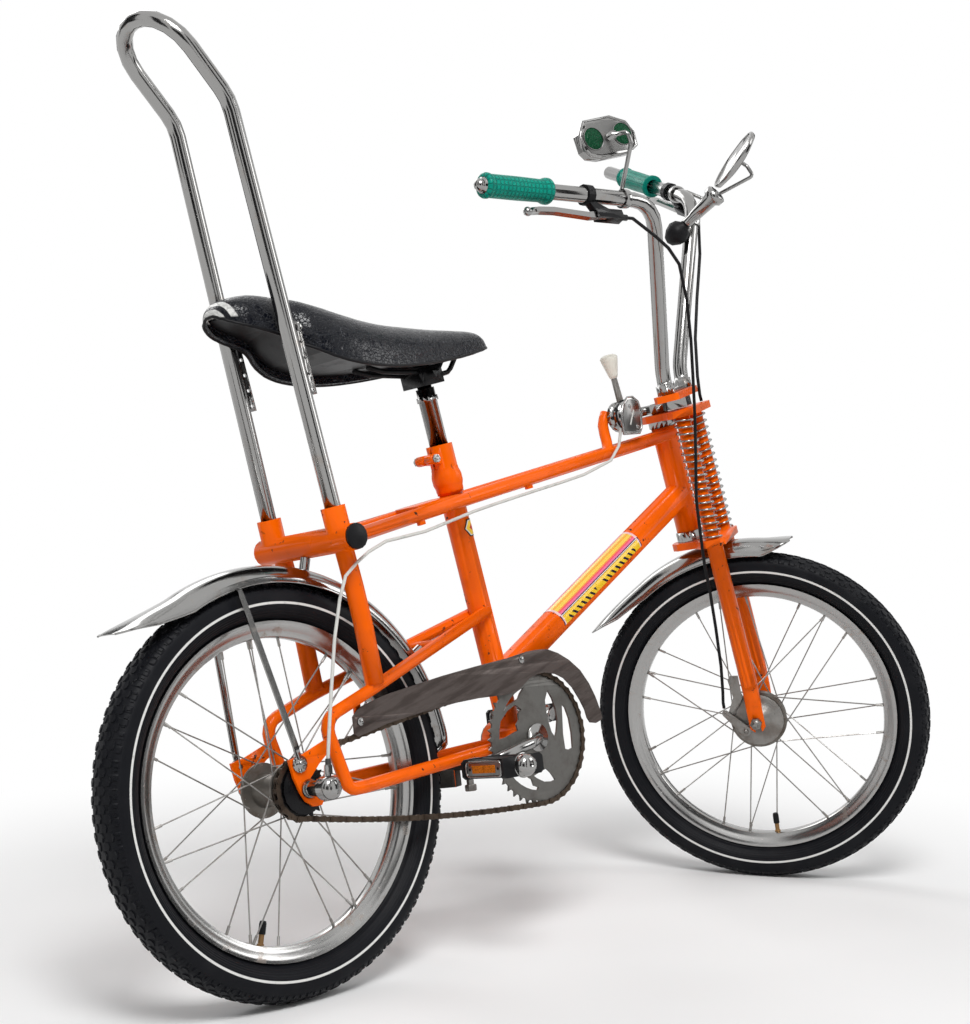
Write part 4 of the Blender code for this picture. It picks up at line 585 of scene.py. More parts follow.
@dataclass(frozen=True)
class Ground(Finish):
    """The plain pale floor."""

    def mix(self, recipe: Recipe) -> None:
        """A matt white that goes over into the white background away from the bike.

        Args:
            recipe: The material's recipe.
        """
        tone = recipe.noise(3, 2)
        recipe.finish(recipe.blend(tone, (0.86, 0.86, 0.86), (0.89, 0.89, 0.89)), 0.9)
        east, north, _ = recipe.split(recipe.place())
        far = recipe.maths("SQRT", east * east + north * north).between(0.55, 1.35)
        seen = recipe.maths("MAXIMUM", self.ray(recipe, "Is Camera Ray"), self.ray(recipe, "Is Glossy Ray"))
        seen = recipe.maths("MAXIMUM", seen, self.ray(recipe, "Is Transmission Ray"))
        glow = recipe.node("ShaderNodeEmission", {}, {"Color": (1.0, 1.0, 1.0), "Strength": 1.0})
        matt = Shade(recipe, recipe.surface.outputs[0])
        both = recipe.node("ShaderNodeMixShader", {}, {0: far * seen, 1: matt, 2: glow})
        recipe.feed(recipe.tree.nodes["Material Output"].inputs["Surface"], both)

    @staticmethod
    def ray(recipe: Recipe, kind: str) -> Shade:
        """1 for rays of one kind."""
        return recipe.node("ShaderNodeLightPath", {}, {}, kind)


@dataclass(frozen=True)
class Card(Finish):
    """The matt grey of the cards that stand round the bike for its chrome to mirror."""

    grey: float = 0.05

    def mix(self, recipe: Recipe) -> None:
        """One even grey.

        Args:
            recipe: The material's recipe.
        """
        recipe.finish((self.grey, self.grey, self.grey * 1.05), 1.0)
        recipe.set(specular_ior_level=0.0)


ORANGE = Enamel("orange_enamel", "orange_paint")
CHROME = Chrome("chrome_plate", "chrome")
RIM_CHROME = Chrome("rim_plate", "chrome", 0.38, 0.15, 0.6)
DULL_CHROME = Chrome("dull_chrome", "chrome", 0.22, 0.22, 0.4)
SPOKE_STEEL = Steel("spoke_steel", "grey_steel", (0.36, 0.35, 0.335), (0.15, 0.12, 0.10), 0.5, 0.30)
GREY_STEEL = Steel("grey_steel_worn", "grey_steel", (0.27, 0.26, 0.245), (0.11, 0.08, 0.06), 0.55, 0.34)
HUB_STEEL = Steel("hub_steel", "grey_steel", (0.17, 0.157, 0.14), (0.09, 0.065, 0.05), 0.7, 0.34)
RING_STEEL = Steel("ring_steel", "grey_steel", (0.175, 0.17, 0.16), (0.06, 0.05, 0.042), 0.45, 0.42)
CHAIN_STEEL = Steel("chain_steel", "brown_steel", (0.095, 0.070, 0.052), (0.03, 0.019, 0.013), 0.8, 0.42)
CAST_STEEL = Steel("cast_steel", "grey_steel", (0.075, 0.072, 0.068), (0.03, 0.025, 0.02), 0.6, 0.5)
BRASS = Steel("valve_brass", "grey_steel", (0.30, 0.17, 0.07), (0.10, 0.06, 0.03), 0.5, 0.35)
BLACK_ENAMEL = Moulded("black_enamel_worn", "black_enamel", (0.006, 0.006, 0.007), 0.24, 300.0, 0.3)
BLACK_RUBBER = Moulded("black_rubber_plain", "black_rubber", (0.006, 0.006, 0.007), 0.42, 350.0, 0.5)
BLACK_PLASTIC = Moulded("black_plastic_plain", "black_plastic", (0.006, 0.006, 0.007), 0.36)
WHITE_PLASTIC = Moulded("white_plastic_aged", "white_plastic", (0.60, 0.60, 0.57), 0.34, 200.0, 0.5)
CREAM_PLASTIC = Moulded("cream_plastic_gloss", "cream_plastic", (0.80, 0.765, 0.68), 0.22, 120.0, 0.25)
CREAM_YELLOW = Moulded("badge_yellow", "cream_plastic", (0.80, 0.52, 0.05), 0.3)
BADGE_RED = Moulded("badge_red", "cream_plastic", (0.55, 0.035, 0.02), 0.3)
GREEN_LENS = Lens("green_lens", "teal_rubber", (0.0, 0.031, 0.011))
AMBER_LENS = Lens("amber_lens", "cream_plastic", (0.30, 0.075, 0.001))
MIRROR_GLASS = Looking("mirror_glass", "chrome")
FLOOR = Ground("pale_floor", "chrome")
GREY_CARD = Card("grey_card", "chrome")


def turned_to(axis: Sequence[float]) -> Matrix:
    """The turn that takes Z to an axis."""
    return Vector(axis).normalized().to_track_quat("Z", "X").to_matrix().to_4x4()


def curved(points: Iterable[Sequence[float]], spacing: float) -> Path:
    """Points at about the given spacing on a smooth curve through some points.

    Args:
        points: The points to pass through.
        spacing: The distance between the points that are made.

    Returns:
        The points of the curve.
    """
    pts = [Vector(p) for p in points]
    ends = [2 * pts[0] - pts[1]] + pts + [2 * pts[-1] - pts[-2]]
    path = []
    for i in range(1, len(ends) - 2):
        a, b, c, d = ends[i - 1:i + 3]
        count = max(1, round((c - b).length / spacing))
        for k in range(count):
            t = k / count
            path.append(0.5 * (2 * b + (c - a) * t + (2 * a - 5 * b + 4 * c - d) * t ** 2
                               + (3 * b - a - 3 * c + d) * t ** 3))
    return path + [pts[-1]]


class Bench:
    """The bench where pieces are made with Blender's own operators, in millimetres."""

    @staticmethod
    def clear() -> None:
        """Leaves edit mode and selects nothing."""
        if bpy.context.mode != "OBJECT":
            bpy.ops.object.mode_set(mode="OBJECT")
        bpy.ops.object.select_all(action="DESELECT")

    @staticmethod
    def edit(obj: bpy.types.Object) -> None:
        """Opens one piece in edit mode with all of it selected.

        Args:
            obj: The piece.
        """
        Bench.clear()
        bpy.context.view_layer.objects.active = obj
        obj.select_set(True)
        bpy.ops.object.mode_set(mode="EDIT")
        bpy.ops.mesh.select_all(action="SELECT")

    @staticmethod
    def close(obj: bpy.types.Object) -> bpy.types.Object:
        """Welds a piece's doubles, turns its faces out and leaves edit mode.

        Args:
            obj: The piece, in edit mode.

        Returns:
            The piece.
        """
        bpy.ops.mesh.select_all(action="SELECT")
        bpy.ops.mesh.remove_doubles(threshold=0.002)
        bpy.ops.mesh.normals_make_consistent(inside=False)
        bpy.ops.object.mode_set(mode="OBJECT")
        return obj

    @staticmethod
    def wires(paths: Sequence[Sequence[Sequence[float]]], radius: float, sides: int = 12,
              loop: bool = False) -> bpy.types.Object:
        """Round bars along paths.

        Args:
            paths: The points of each bar.
            radius: The bars' radius.
            sides: How many sides they have, 4 or more and even.
            loop: Whether each path closes on itself.

        Returns:
            The bars as one piece.
        """
        Bench.clear()
        bpy.ops.curve.primitive_nurbs_path_add()
        obj = bpy.context.object
        curve = obj.data
        curve.splines.clear()
        for path in paths:
            spline = curve.splines.new("POLY")
            spline.points.add(len(path) - 1)
            for point, at in zip(spline.points, path):
                point.co = (*at, 1.0)
            spline.use_cyclic_u = loop
        curve.dimensions = "3D"
        curve.bevel_depth = radius
        curve.bevel_resolution = max(0, (sides - 4) // 2)
        curve.use_fill_caps = not loop
        bpy.ops.object.convert(target="MESH")
        obj = bpy.context.object
        Bench.edit(obj)
        return Bench.close(obj)

    @staticmethod
    def lathe(profile: Sequence[tuple[float, float]], steps: int = 48, ring: bool = False,
              axis: Sequence[float] = (0, 1, 0), origin: Sequence[float] = (0, 0, 0)) -> bpy.types.Object:
        """A turned piece.

        Args:
            profile: Points of radius and height along the axis.
            steps: How many steps there are in the turn.
            ring: Whether the profile closes on itself.
            axis: The direction of the heights.
            origin: Where height 0 lies.

        Returns:
            The piece.
        """
        Bench.clear()
        bpy.ops.mesh.primitive_circle_add(vertices=len(profile), radius=1.0, fill_type="NOTHING")
        obj = bpy.context.object
        for vertex, (radius, height) in zip(obj.data.vertices, profile):
            vertex.co = (radius, 0.0, height)
        Bench.edit(obj)
        if not ring:
            mesh = bmesh.from_edit_mesh(obj.data)
            mesh.verts.ensure_lookup_table()
            closing = mesh.edges.get((mesh.verts[0], mesh.verts[len(profile) - 1]))
            bmesh.ops.delete(mesh, geom=[closing], context="EDGES_FACES")
            bmesh.update_edit_mesh(obj.data)
        bpy.ops.mesh.select_all(action="SELECT")
        bpy.ops.mesh.spin(steps=steps, angle=2 * math.pi, center=(0, 0, 0), axis=(0, 0, 1))
        Bench.close(obj)
        obj.data.transform(Matrix.Translation(origin) @ turned_to(axis))
        return obj

    @staticmethod
    def skin(sections: Sequence[Sequence[Sequence[float]]], caps: bool = False) -> bpy.types.Object:
        """A skin over sections that all have as many points, with its open ends filled where caps is set.

        Args:
            sections: The sections in order.
            caps: Whether the open ends are filled.

        Returns:
            The skin.
        """
        rows, columns = len(sections), len(sections[0])
        Bench.clear()
        bpy.ops.mesh.primitive_grid_add(x_subdivisions=columns - 1, y_subdivisions=rows - 1, size=2.0)
        obj = bpy.context.object
        for vertex in obj.data.vertices:
            column = round((vertex.co.x + 1) / 2 * (columns - 1))
            row = round((vertex.co.y + 1) / 2 * (rows - 1))
            vertex.co = sections[row][column]
        Bench.edit(obj)
        bpy.ops.mesh.remove_doubles(threshold=0.002)
        if caps:
            bpy.ops.mesh.select_all(action="SELECT")
            bpy.ops.mesh.fill_holes(sides=0)
        return Bench.close(obj)

    @staticmethod
    def plate(outline: Sequence[tuple[float, float]], thickness: float, edge: float = 0.0,
              place: Matrix = Matrix.Identity(4)) -> bpy.types.Object:
        """A flat plate about its own XY plane, with its edges bevelled by edge.

        Args:
            outline: The plate's outline.
            thickness: Its thickness.
            edge: The size of its bevels.
            place: Where it lies.

        Returns:
            The plate.
        """
        Bench.clear()
        bpy.ops.mesh.primitive_circle_add(vertices=len(outline), radius=1.0, fill_type="NGON")
        obj = bpy.context.object
        for vertex, (x, y) in zip(obj.data.vertices, outline):
            vertex.co = (x, y, -thickness / 2)
        Bench.edit(obj)
        bpy.ops.mesh.extrude_region_move(TRANSFORM_OT_translate={"value": (0, 0, thickness)})
        Bench.close(obj)
        if edge:
            Bench.modify(obj, "BEVEL", width=edge, segments=2, limit_method="ANGLE")
        obj.data.transform(place)
        return obj

    @staticmethod
    def modify(obj: bpy.types.Object, kind: str, **settings: Union[float, str, bool]) -> bpy.types.Object:
        """Applies one modifier.

        Args:
            obj: The piece.
            kind: The modifier's type.
            settings: The modifier's settings.

        Returns:
            The piece.
        """
        Bench.clear()
        bpy.context.view_layer.objects.active = obj
        obj.select_set(True)
        bpy.ops.object.modifier_add(type=kind)
        change = obj.modifiers[-1]
        for name, value in settings.items():
            setattr(change, name, value)
        bpy.ops.object.modifier_apply(modifier=change.name)
        return obj

    @staticmethod
    def copies(master: bpy.types.Object, places: Sequence[Matrix]) -> bpy.types.Object:
        """Copies of one piece at places, joined; the first place takes the piece itself.

        Args:
            master: The piece to copy.
            places: Where each copy lies.

        Returns:
            All of them as one piece.
        """
        made = []
        for place in places[1:]:
            twin = master.copy()
            twin.data = master.data.copy()
            twin.data.transform(place)
            bpy.context.scene.collection.objects.link(twin)
            made.append(twin)
        master.data.transform(places[0])
        return Bench.join([master, *made])

    @staticmethod
    def join(parts: Sequence[bpy.types.Object]) -> bpy.types.Object:
        """Joins pieces into the first of them.

        Args:
            parts: The pieces.

        Returns:
            The joined piece.
        """
        Bench.clear()
        for part in parts:
            part.select_set(True)
        bpy.context.view_layer.objects.active = parts[0]
        if len(parts) > 1:
            bpy.ops.object.join()
        return parts[0]

    @staticmethod
    def settle(obj: bpy.types.Object, name: str, frame: Matrix, finish: Finish, body: Body,
               stands_for: Sequence[str] = (), angle: float = 35.0) -> bpy.types.Object:
        """Puts a finished piece in its place and on its body.

        Args:
            obj: The piece, in millimetres in the frame.
            name: Its name.
            frame: The frame that it was made in.
            finish: Its finish.
            body: The body that it rides on.
            stands_for: The nodes that it stands for.
            angle: Edges sharper than this stay sharp.

        Returns:
            The piece.
        """
        Bench.clear()
        obj.data.transform(frame @ Matrix.Scale(MM, 4))
        obj.name = name
        obj.data.name = name
        Bench.dress(obj, finish, angle)
        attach(obj, body.value)
        if stands_for:
            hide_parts(*stands_for)
        LOG.info("%s: %d faces on %s", name, len(obj.data.polygons), body.value)
        return obj

    @staticmethod
    def dress(obj: bpy.types.Object, finish: Finish, angle: float) -> None:
        """Gives a piece its finish and smooths its faces up to an angle.

        Args:
            obj: The piece.
            finish: Its finish.
            angle: Edges sharper than this stay sharp.
        """
        obj.data.materials.clear()
        obj.data.materials.append(finish.material())
        bpy.context.view_layer.objects.active = obj
        obj.select_set(True)
        bpy.ops.object.shade_smooth_by_angle(angle=math.radians(angle))
        obj.select_set(False)

    @staticmethod
    def carry_over(node: bpy.types.Object, finish: Finish, body: Body,
                   angle: float = 32.0) -> bpy.types.Object:
        """A smooth-shaded copy of a node's own shape that stands for the node.

        Args:
            node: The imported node.
            finish: The finish of the copy.
            body: The body that it rides on.
            angle: Edges sharper than this stay sharp.

        Returns:
            The copy.
        """
        Bench.clear()
        twin = node.copy()
        twin.data = node.data.copy()
        twin.parent = None
        for key in list(twin.keys()):
            del twin[key]
        bpy.context.scene.collection.objects.link(twin)
        twin.matrix_world = Matrix.Identity(4)
        Bench.edit(twin)
        bpy.ops.mesh.remove_doubles(threshold=0.000002)
        bpy.ops.object.mode_set(mode="OBJECT")
        twin.name = node.name + "_shown"
        twin.data.name = twin.name
        Bench.dress(twin, finish, angle)
        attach(twin, body.value)
        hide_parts(node.name)
        return twin


@dataclass
class Frames:
    """The frames that pieces are made in, in metres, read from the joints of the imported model."""

    bike: Matrix
    steering: Matrix
    front_wheel: Matrix
    joints: dict

    crank_x: float = 409.0
    crank_z: float = 16.5

    @classmethod
    def read(cls, joints: Sequence[dict]) -> "Frames":
        """Works out the frames.

        Args:
            joints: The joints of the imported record.

        Returns:
            The frames.
        """
        table = {joint["name"]: joint for joint in joints}
        left = Vector(table["rear_wheel_spin"]["axis"]).normalized()
        rear = Vector(table["rear_wheel_spin"]["pos_m"])
        reach = (Vector(table["crank_spin"]["pos_m"]) - rear).normalized()
        square = reach.cross(left)
        tilt = math.atan2(cls.crank_z, cls.crank_x)
        ahead = reach * math.cos(tilt) - square * math.sin(tilt)
        bike = Matrix((ahead, left, ahead.cross(left))).transposed().to_4x4()
        bike.translation = rear
        up = Vector(table["steering_turn"]["axis"]).normalized()
        side = Vector(table["front_wheel_spin"]["axis"]).normalized()
        steering = Matrix((side.cross(up), side, up)).transposed().to_4x4()
        front = steering.copy()
        steering.translation = Vector(table["steering_turn"]["pos_m"])
        front.translation = Vector(table["front_wheel_spin"]["pos_m"])
        return cls(bike, steering, front, table)

    def at_joint(self, name: str, base: Matrix) -> Matrix:
        """A base frame's axes at a joint's place.

        Args:
            name: The joint's name.
            base: The frame whose axes are kept.

        Returns:
            The frame at the joint.
        """
        frame = base.copy()
        frame.translation = Vector(self.joints[name]["pos_m"])
        return frame


@dataclass
class Wheel:
    """One wheel: tyre with tread, rim, hub, crossed spokes with nipples, and valve."""

    name: str
    body: Body
    frame: Matrix
    hub: Sequence[tuple[float, float]]
    flanges: Sequence[tuple[float, float]]
    valve_angle: float
    radius: float = 256.0
    rim_radius: float = 208.0
    rim_inner: float = 187.0
    rim_half: float = 15.5
    pitches: int = 76
    turn_steps: int = 108
    spokes_a_side: int = 14
    crossing: float = 57.9
    spoke_radius: float = 1.0
    nipple_radius: float = 1.9

    def build(self) -> None:
        """Makes every piece of the wheel."""
        rubber = Tyre(f"{self.name}_tyre_rubber", "tyre_rubber", self.frame)
        Bench.settle(self.tyre(), f"{self.name}_tyre_shown", self.frame, rubber, self.body,
                     [f"{self.name}_tyre"], 50)
        Bench.settle(self.tread(), f"{self.name}_tread", self.frame, rubber, self.body, angle=20)
        Bench.settle(self.rim(), f"{self.name}_rim_shown", self.frame, RIM_CHROME, self.body,
                     [f"{self.name}_rim"])
        Bench.settle(Bench.lathe(self.hub, 40), f"{self.name}_hub", self.frame, HUB_STEEL, self.body,
                     [f"{self.name}_hub_and_spokes"])
        Bench.settle(self.spokes(), f"{self.name}_spokes", self.frame, SPOKE_STEEL, self.body)
        Bench.settle(self.nipples(), f"{self.name}_nipples", self.frame, SPOKE_STEEL, self.body)
        stem = [(0, -2), (4.5, -2), (4.5, 1.5), (3.4, 2.5), (3.4, 15), (0, 15)]
        Bench.settle(self.valve(stem), f"{self.name}_valve", self.frame, BRASS, self.body)
        cap = [(0, 13), (4.3, 13), (4.6, 14), (4.6, 26), (3.8, 29), (0, 30)]
        Bench.settle(self.valve(cap), f"{self.name}_valve_cap", self.frame, BLACK_PLASTIC, self.body)

    def outline(self) -> list[tuple[float, float]]:
        """The right half of the tyre's section, from its bead to its crown.

        Returns:
            Points of radius and distance from the middle.
        """
        outer, bead = self.radius - 1.5, self.rim_radius
        points = [(bead - 6.4, 10.5), (bead + 1, 12.2), (bead + 6, 20.0), (bead + 16, 26.6),
                  (bead + 27, 27.0), (outer - 11, 25.2), (outer - 4.5, 19.5), (outer - 1.2, 10.5),
                  (outer, 0.0)]
        return [(p.x, p.y) for p in curved([(r, y, 0) for r, y in points], 3.2)]

    def tyre(self) -> bpy.types.Object:
        """The tyre's body."""
        half = self.outline()
        return Bench.lathe(half + [(r, -y) for r, y in reversed(half[:-1])], self.turn_steps, True)

    def surface(self, y: float) -> tuple[float, float]:
        """The tyre's radius at a distance from its middle, and the slope of its surface there.

        Args:
            y: The distance from the tyre's middle.

        Returns:
            The radius, and the slope in radians.
        """
        points = [(r, abs(w)) for r, w in self.outline() if r > self.radius - 22]
        points.sort(key=lambda point: point[1])
        for (r0, w0), (r1, w1) in zip(points, points[1:]):
            if w0 <= abs(y) <= w1:
                share = (abs(y) - w0) / (w1 - w0)
                return r0 + (r1 - r0) * share, math.copysign(math.atan2(r0 - r1, w1 - w0), y)
        return points[-1][0], math.copysign(1.2, y)

    def tread(self) -> bpy.types.Object:
        """Staggered six-sided blocks and pairs of shoulder ribs, one pitch made and copied round the tyre.

        Returns:
            The tread as one piece.
        """
        blocks = []
        pitch = 2 * math.pi / self.pitches
        for row, y in enumerate((-16.5, -8.3, 0.0, 8.3, 16.5)):
            blocks.append(self.block(y, pitch / 2 * (row % 2), 6.6, 4.4, 6))
        for side in (-1, 1):
            for k in (0.15, 0.65):
                blocks.append(self.block(side * 22.8, pitch * k, 2.7, 3.6, 4))
        master = Bench.join(blocks)
        turns = [Matrix.Rotation(pitch * k, 4, "Y") for k in range(self.pitches)]
        return Bench.copies(master, turns)

    def block(self, y: float, angle: float, long: float, wide: float, sides: int) -> bpy.types.Object:
        """One raised block of the tread with a slightly smaller top.

        Args:
            y: The block's distance from the tyre's middle.
            angle: Its angle round the axle.
            long: Half of its length.
            wide: Half of its width.
            sides: How many sides it has.

        Returns:
            The block.
        """
        radius, slope = self.surface(y)
        Bench.clear()
        bpy.ops.mesh.primitive_cylinder_add(vertices=sides, radius=1.0, depth=2.4, end_fill_type="NGON")
        obj = bpy.context.object
        twist = Matrix.Rotation(math.radians(45 if sides == 4 else 0), 4, "Z")
        for vertex in obj.data.vertices:
            if vertex.co.z > 0:
                vertex.co.x *= 0.86
                vertex.co.y *= 0.86
        obj.data.transform(Matrix.Diagonal((long, wide, 1.0, 1.0)) @ twist)
        out = Vector((math.cos(slope), math.sin(slope), 0.0))
        around = Vector((0.0, 0.0, 1.0))
        turn = Matrix((around, out.cross(around), out)).transposed().to_4x4()
        obj.data.transform(Matrix.Rotation(angle, 4, "Y") @ Matrix.Translation((radius, y, 0.0)) @ turn)
        return obj

    def rim(self) -> bpy.types.Object:
        """The rolled rim with its two lips and its well.

        Returns:
            The rim.
        """
        outer, inner, half = self.rim_radius, self.rim_inner, self.rim_half
        side = [(inner, 5.5), (inner + 1.5, 8.2), (inner + 4.5, 9.2), (inner + 9, 10.4), (inner + 13, 14.2),
                (outer - 3, half - 0.4), (outer - 0.6, half), (outer, half - 1.0), (outer - 0.8, half - 2.2),
                (outer - 5, half - 3.2), (outer - 8, half - 6)]
        profile = [(r, -y) for r, y in reversed(side)] + side
        return Bench.lathe(profile, self.turn_steps, True)

    def spoke_lines(self) -> list[tuple[Vector, Vector]]:
        """Both ends of every spoke.

        Returns:
            The end at the flange and the end at the rim of each spoke.
        """
        cross = math.radians(self.crossing)
        lines = []
        for index, (y, hole) in enumerate(self.flanges):
            for k in range(self.spokes_a_side):
                lead = 1 if k % 2 else -1
                a = 2 * math.pi * (k + index * 0.5) / self.spokes_a_side
                b = a + lead * cross
                lines.append((Vector((hole * math.cos(a), y + 1.6 * lead, hole * math.sin(a))),
                              Vector((self.rim_inner * math.cos(b), math.copysign(3.0, y),
                                      self.rim_inner * math.sin(b)))))
        return lines

    def spokes(self) -> bpy.types.Object:
        """The spokes, each with its bent head at the flange.

        Returns:
            The spokes as one piece.
        """
        paths = []
        for start, end in self.spoke_lines():
            lead = math.copysign(1.0, abs(start.y) - 29.5) * math.copysign(1.0, start.y)
            head = start + Vector((0, -lead * 4.2, 0))
            paths.append([head, start, start + (end - start) * 0.04, end])
        return Bench.wires(paths, self.spoke_radius, 6)

    def nipples(self) -> bpy.types.Object:
        """The square-shouldered nipples at the rim.

        Returns:
            The nipples as one piece.
        """
        paths = []
        for start, end in self.spoke_lines():
            run = (end - start).normalized()
            paths.append([end - run * 11, end + run * 2])
        return Bench.wires(paths, self.nipple_radius, 8)

    def valve(self, profile: Sequence[tuple[float, float]]) -> bpy.types.Object:
        """A turned piece of the valve, with its heights measured inwards from the rim.

        Args:
            profile: Points of radius and height.

        Returns:
            The piece.
        """
        a = math.radians(self.valve_angle)
        inwards = (-math.cos(a), 0.0, -math.sin(a))
        at = (math.cos(a) * self.rim_inner, 0.0, math.sin(a) * self.rim_inner)
        return Bench.lathe(profile, 16, False, inwards, at)


@dataclass
class Fender:
    """A chromed mudguard about an axle, with angles in degrees from straight ahead.

    A post is an angle and the two radii between which it runs.
    """

    name: str
    body: Body
    frame: Matrix
    start: float
    stop: float
    flare_from: float
    flare_lift: float
    flare_flat: float
    posts: Sequence[tuple[float, float, float]]
    nose: float = 0.0
    radius: float = 277.0
    half: float = 31.0
    gauge: float = 1.2
    roll: float = 1.3
    step: float = 1.1
    fade: float = 9.0
    corner: float = 4.5

    def build(self) -> None:
        """Makes the guard with its posts and rolled edges."""
        sheet = Bench.skin(self.sections())
        Bench.modify(sheet, "SOLIDIFY", thickness=self.gauge, offset=-1.0)
        parts = [sheet]
        for degrees, low, reach in self.posts:
            a = math.radians(degrees)
            out = (math.cos(a), 0.0, math.sin(a))
            parts.append(Bench.lathe([(0, low), (6.5, low), (6.5, reach), (0, reach)], 20, False, out))
        piece = Bench.join(parts)
        Bench.settle(piece, f"{self.name}_shown", self.frame, CHROME, self.body, [self.name], 40)
        rows = self.sections()
        edges = [[row[0] for row in rows], [row[-1] for row in rows]]
        Bench.settle(Bench.wires(edges, self.roll, 8), f"{self.name}_edges", self.frame, CHROME, self.body)

    def sections(self) -> list[list[Vector]]:
        """The guard's sections from its front to its tail.

        Returns:
            The points of each section.
        """
        half = self.half
        drop = curved([(-half, -23, 0), (-half + 1.2, -15, 0), (-half + 9, -5.4, 0), (-14, -1.4, 0),
                       (0, 0, 0), (14, -1.4, 0), (half - 9, -5.4, 0), (half - 1.2, -15, 0),
                       (half, -23, 0)], 2.6)
        rows = []
        count = round((self.stop - self.start) / self.step)
        for i in range(count + 1):
            degrees = self.start + (self.stop - self.start) * i / count
            past = max(0.0, (degrees - self.flare_from) / 20.0)
            lift, flat = self.flare_lift * past ** 1.6, self.flare_flat * past
            tail = 1.0 - min(1.0, (self.stop - degrees) / self.fade)
            front = (1.0 - min(1.0, (degrees - self.start) / self.fade)) * (self.nose > 0)
            flat += (0.94 - flat) * tail ** 1.3 + (0.85 - flat) * front ** 1.3
            lift += self.nose * front ** 1.5
            near = min(degrees - self.start, self.stop - degrees) / self.corner
            inset = 1.0 if near >= 1 else 1.0 - 0.42 * (1 - math.sqrt(max(0.0, 1 - (1 - near) ** 2)))
            a = math.radians(degrees)
            rows.append([Vector(((self.radius + lift + p.y * (1 - flat)) * math.cos(a), p.x * inset,
                                 (self.radius + lift + p.y * (1 - flat)) * math.sin(a))) for p in drop])
        return rows


@dataclass
class Saddle:
    """The long seat: a padded vinyl top with a piped lower edge.

    A station is a place along the seat, its half width there, its lower edge and its top.
    """

    frame: Matrix
    stations: Sequence[tuple[float, float, float, float]] = (
        (-31, 8, 588, 594), (-27, 20, 583, 601), (-17, 31, 577, 609), (-3, 40, 572, 613.5),
        (15, 45, 567, 616.5), (35, 47, 562, 616.5), (52, 48, 556, 615), (64, 54, 549, 614),
        (80, 66, 541, 612), (105, 75, 530, 606), (135, 78, 523, 598.5), (175, 77, 520, 590),
        (215, 72, 521, 585.5), (260, 64, 526, 584), (310, 53, 534, 583.5), (355, 43, 543, 584.5),
        (395, 32, 553, 585), (413, 25, 558, 582), (425, 17, 562, 575), (434, 8, 564, 568))
    edge: float = 9.0
    pan_rise: float = 13.0
    fullness: float = 2.8
    arc_steps: int = 24
    rows: int = 70
    crowding: float = 0.75
    piping: float = 2.2

    def build(self) -> None:
        """Makes the seat and its piping."""
        vinyl = SeatVinyl("seat_vinyl", "black_vinyl", self.frame)
        cushion = Bench.skin(self.sections(), True)
        Bench.settle(cushion, "seat_cushion_shown", self.frame, vinyl, Body.FRAME, ["seat_cushion"], 60)
        Bench.settle(Bench.wires([self.rim_line()], self.piping, 8, True), "seat_piping", self.frame,
                     BLACK_PLASTIC, Body.FRAME, angle=60)

    def sections(self) -> list[list[Vector]]:
        """Closed sections from the tail to the nose.

        Returns:
            The points of each section.
        """
        profile = []
        lows = self.resampled([(x, low) for x, _, low, _ in self.stations])
        tops = self.resampled([(x, top) for x, _, _, top in self.stations])
        halves = self.resampled([(x, half) for x, half, _, _ in self.stations])
        for (x, low), (_, top), (_, half) in zip(lows, tops, halves):
            inner = max(half - self.edge, half * 0.4)
            tall = top - low
            roof = low + min(self.pan_rise, tall * 0.4)
            section = [Vector((x, 0, roof)), Vector((x, -inner, roof)), Vector((x, -inner, low + 1.0)),
                       Vector((x, -(inner + half) / 2, low - 0.4))]
            for k in range(self.arc_steps + 1):
                angle = math.pi * k / self.arc_steps
                y = -math.copysign(abs(math.cos(angle)) ** (2 / self.fullness), math.cos(angle)) * half
                z = low + 0.8 + (tall - 0.8) * abs(math.sin(angle)) ** (2 / self.fullness)
                section.append(Vector((x, y, z)))
            section += [Vector((x, (inner + half) / 2, low - 0.4)), Vector((x, inner, low + 1.0)),
                        Vector((x, inner, roof)), Vector((x, 0, roof))]
            profile.append(section)
        return profile

    def resampled(self, points: Sequence[tuple[float, float]]) -> list[tuple[float, float]]:
        """A station table's value at places along the seat that lie closer together near its ends.

        Args:
            points: The places along the seat with the table's values.

        Returns:
            The places with their values.
        """
        path = curved([(x, value, 0) for x, value in points], 1.5)
        first, last = points[0][0], points[-1][0]
        made = []
        for i in range(self.rows + 1):
            share = i / self.rows
            eased = share - math.sin(2 * math.pi * share) / (2 * math.pi) * self.crowding
            x = first + (last - first) * eased
            near = min(range(len(path) - 1), key=lambda k: abs(path[k].x - x))
            made.append((x, path[near].y))
        return made

    def rim_line(self) -> Path:
        """The lower edge, right round the seat.

        Returns:
            The closed line.
        """
        lows = self.resampled([(x, low) for x, _, low, _ in self.stations])
        halves = self.resampled([(x, half) for x, half, _, _ in self.stations])
        right = [Vector((x, -half + 1.2, low + 0.2)) for (x, low), (_, half) in zip(lows, halves)]
        left = [Vector((p.x, -p.y, p.z)) for p in reversed(right)]
        return right + left


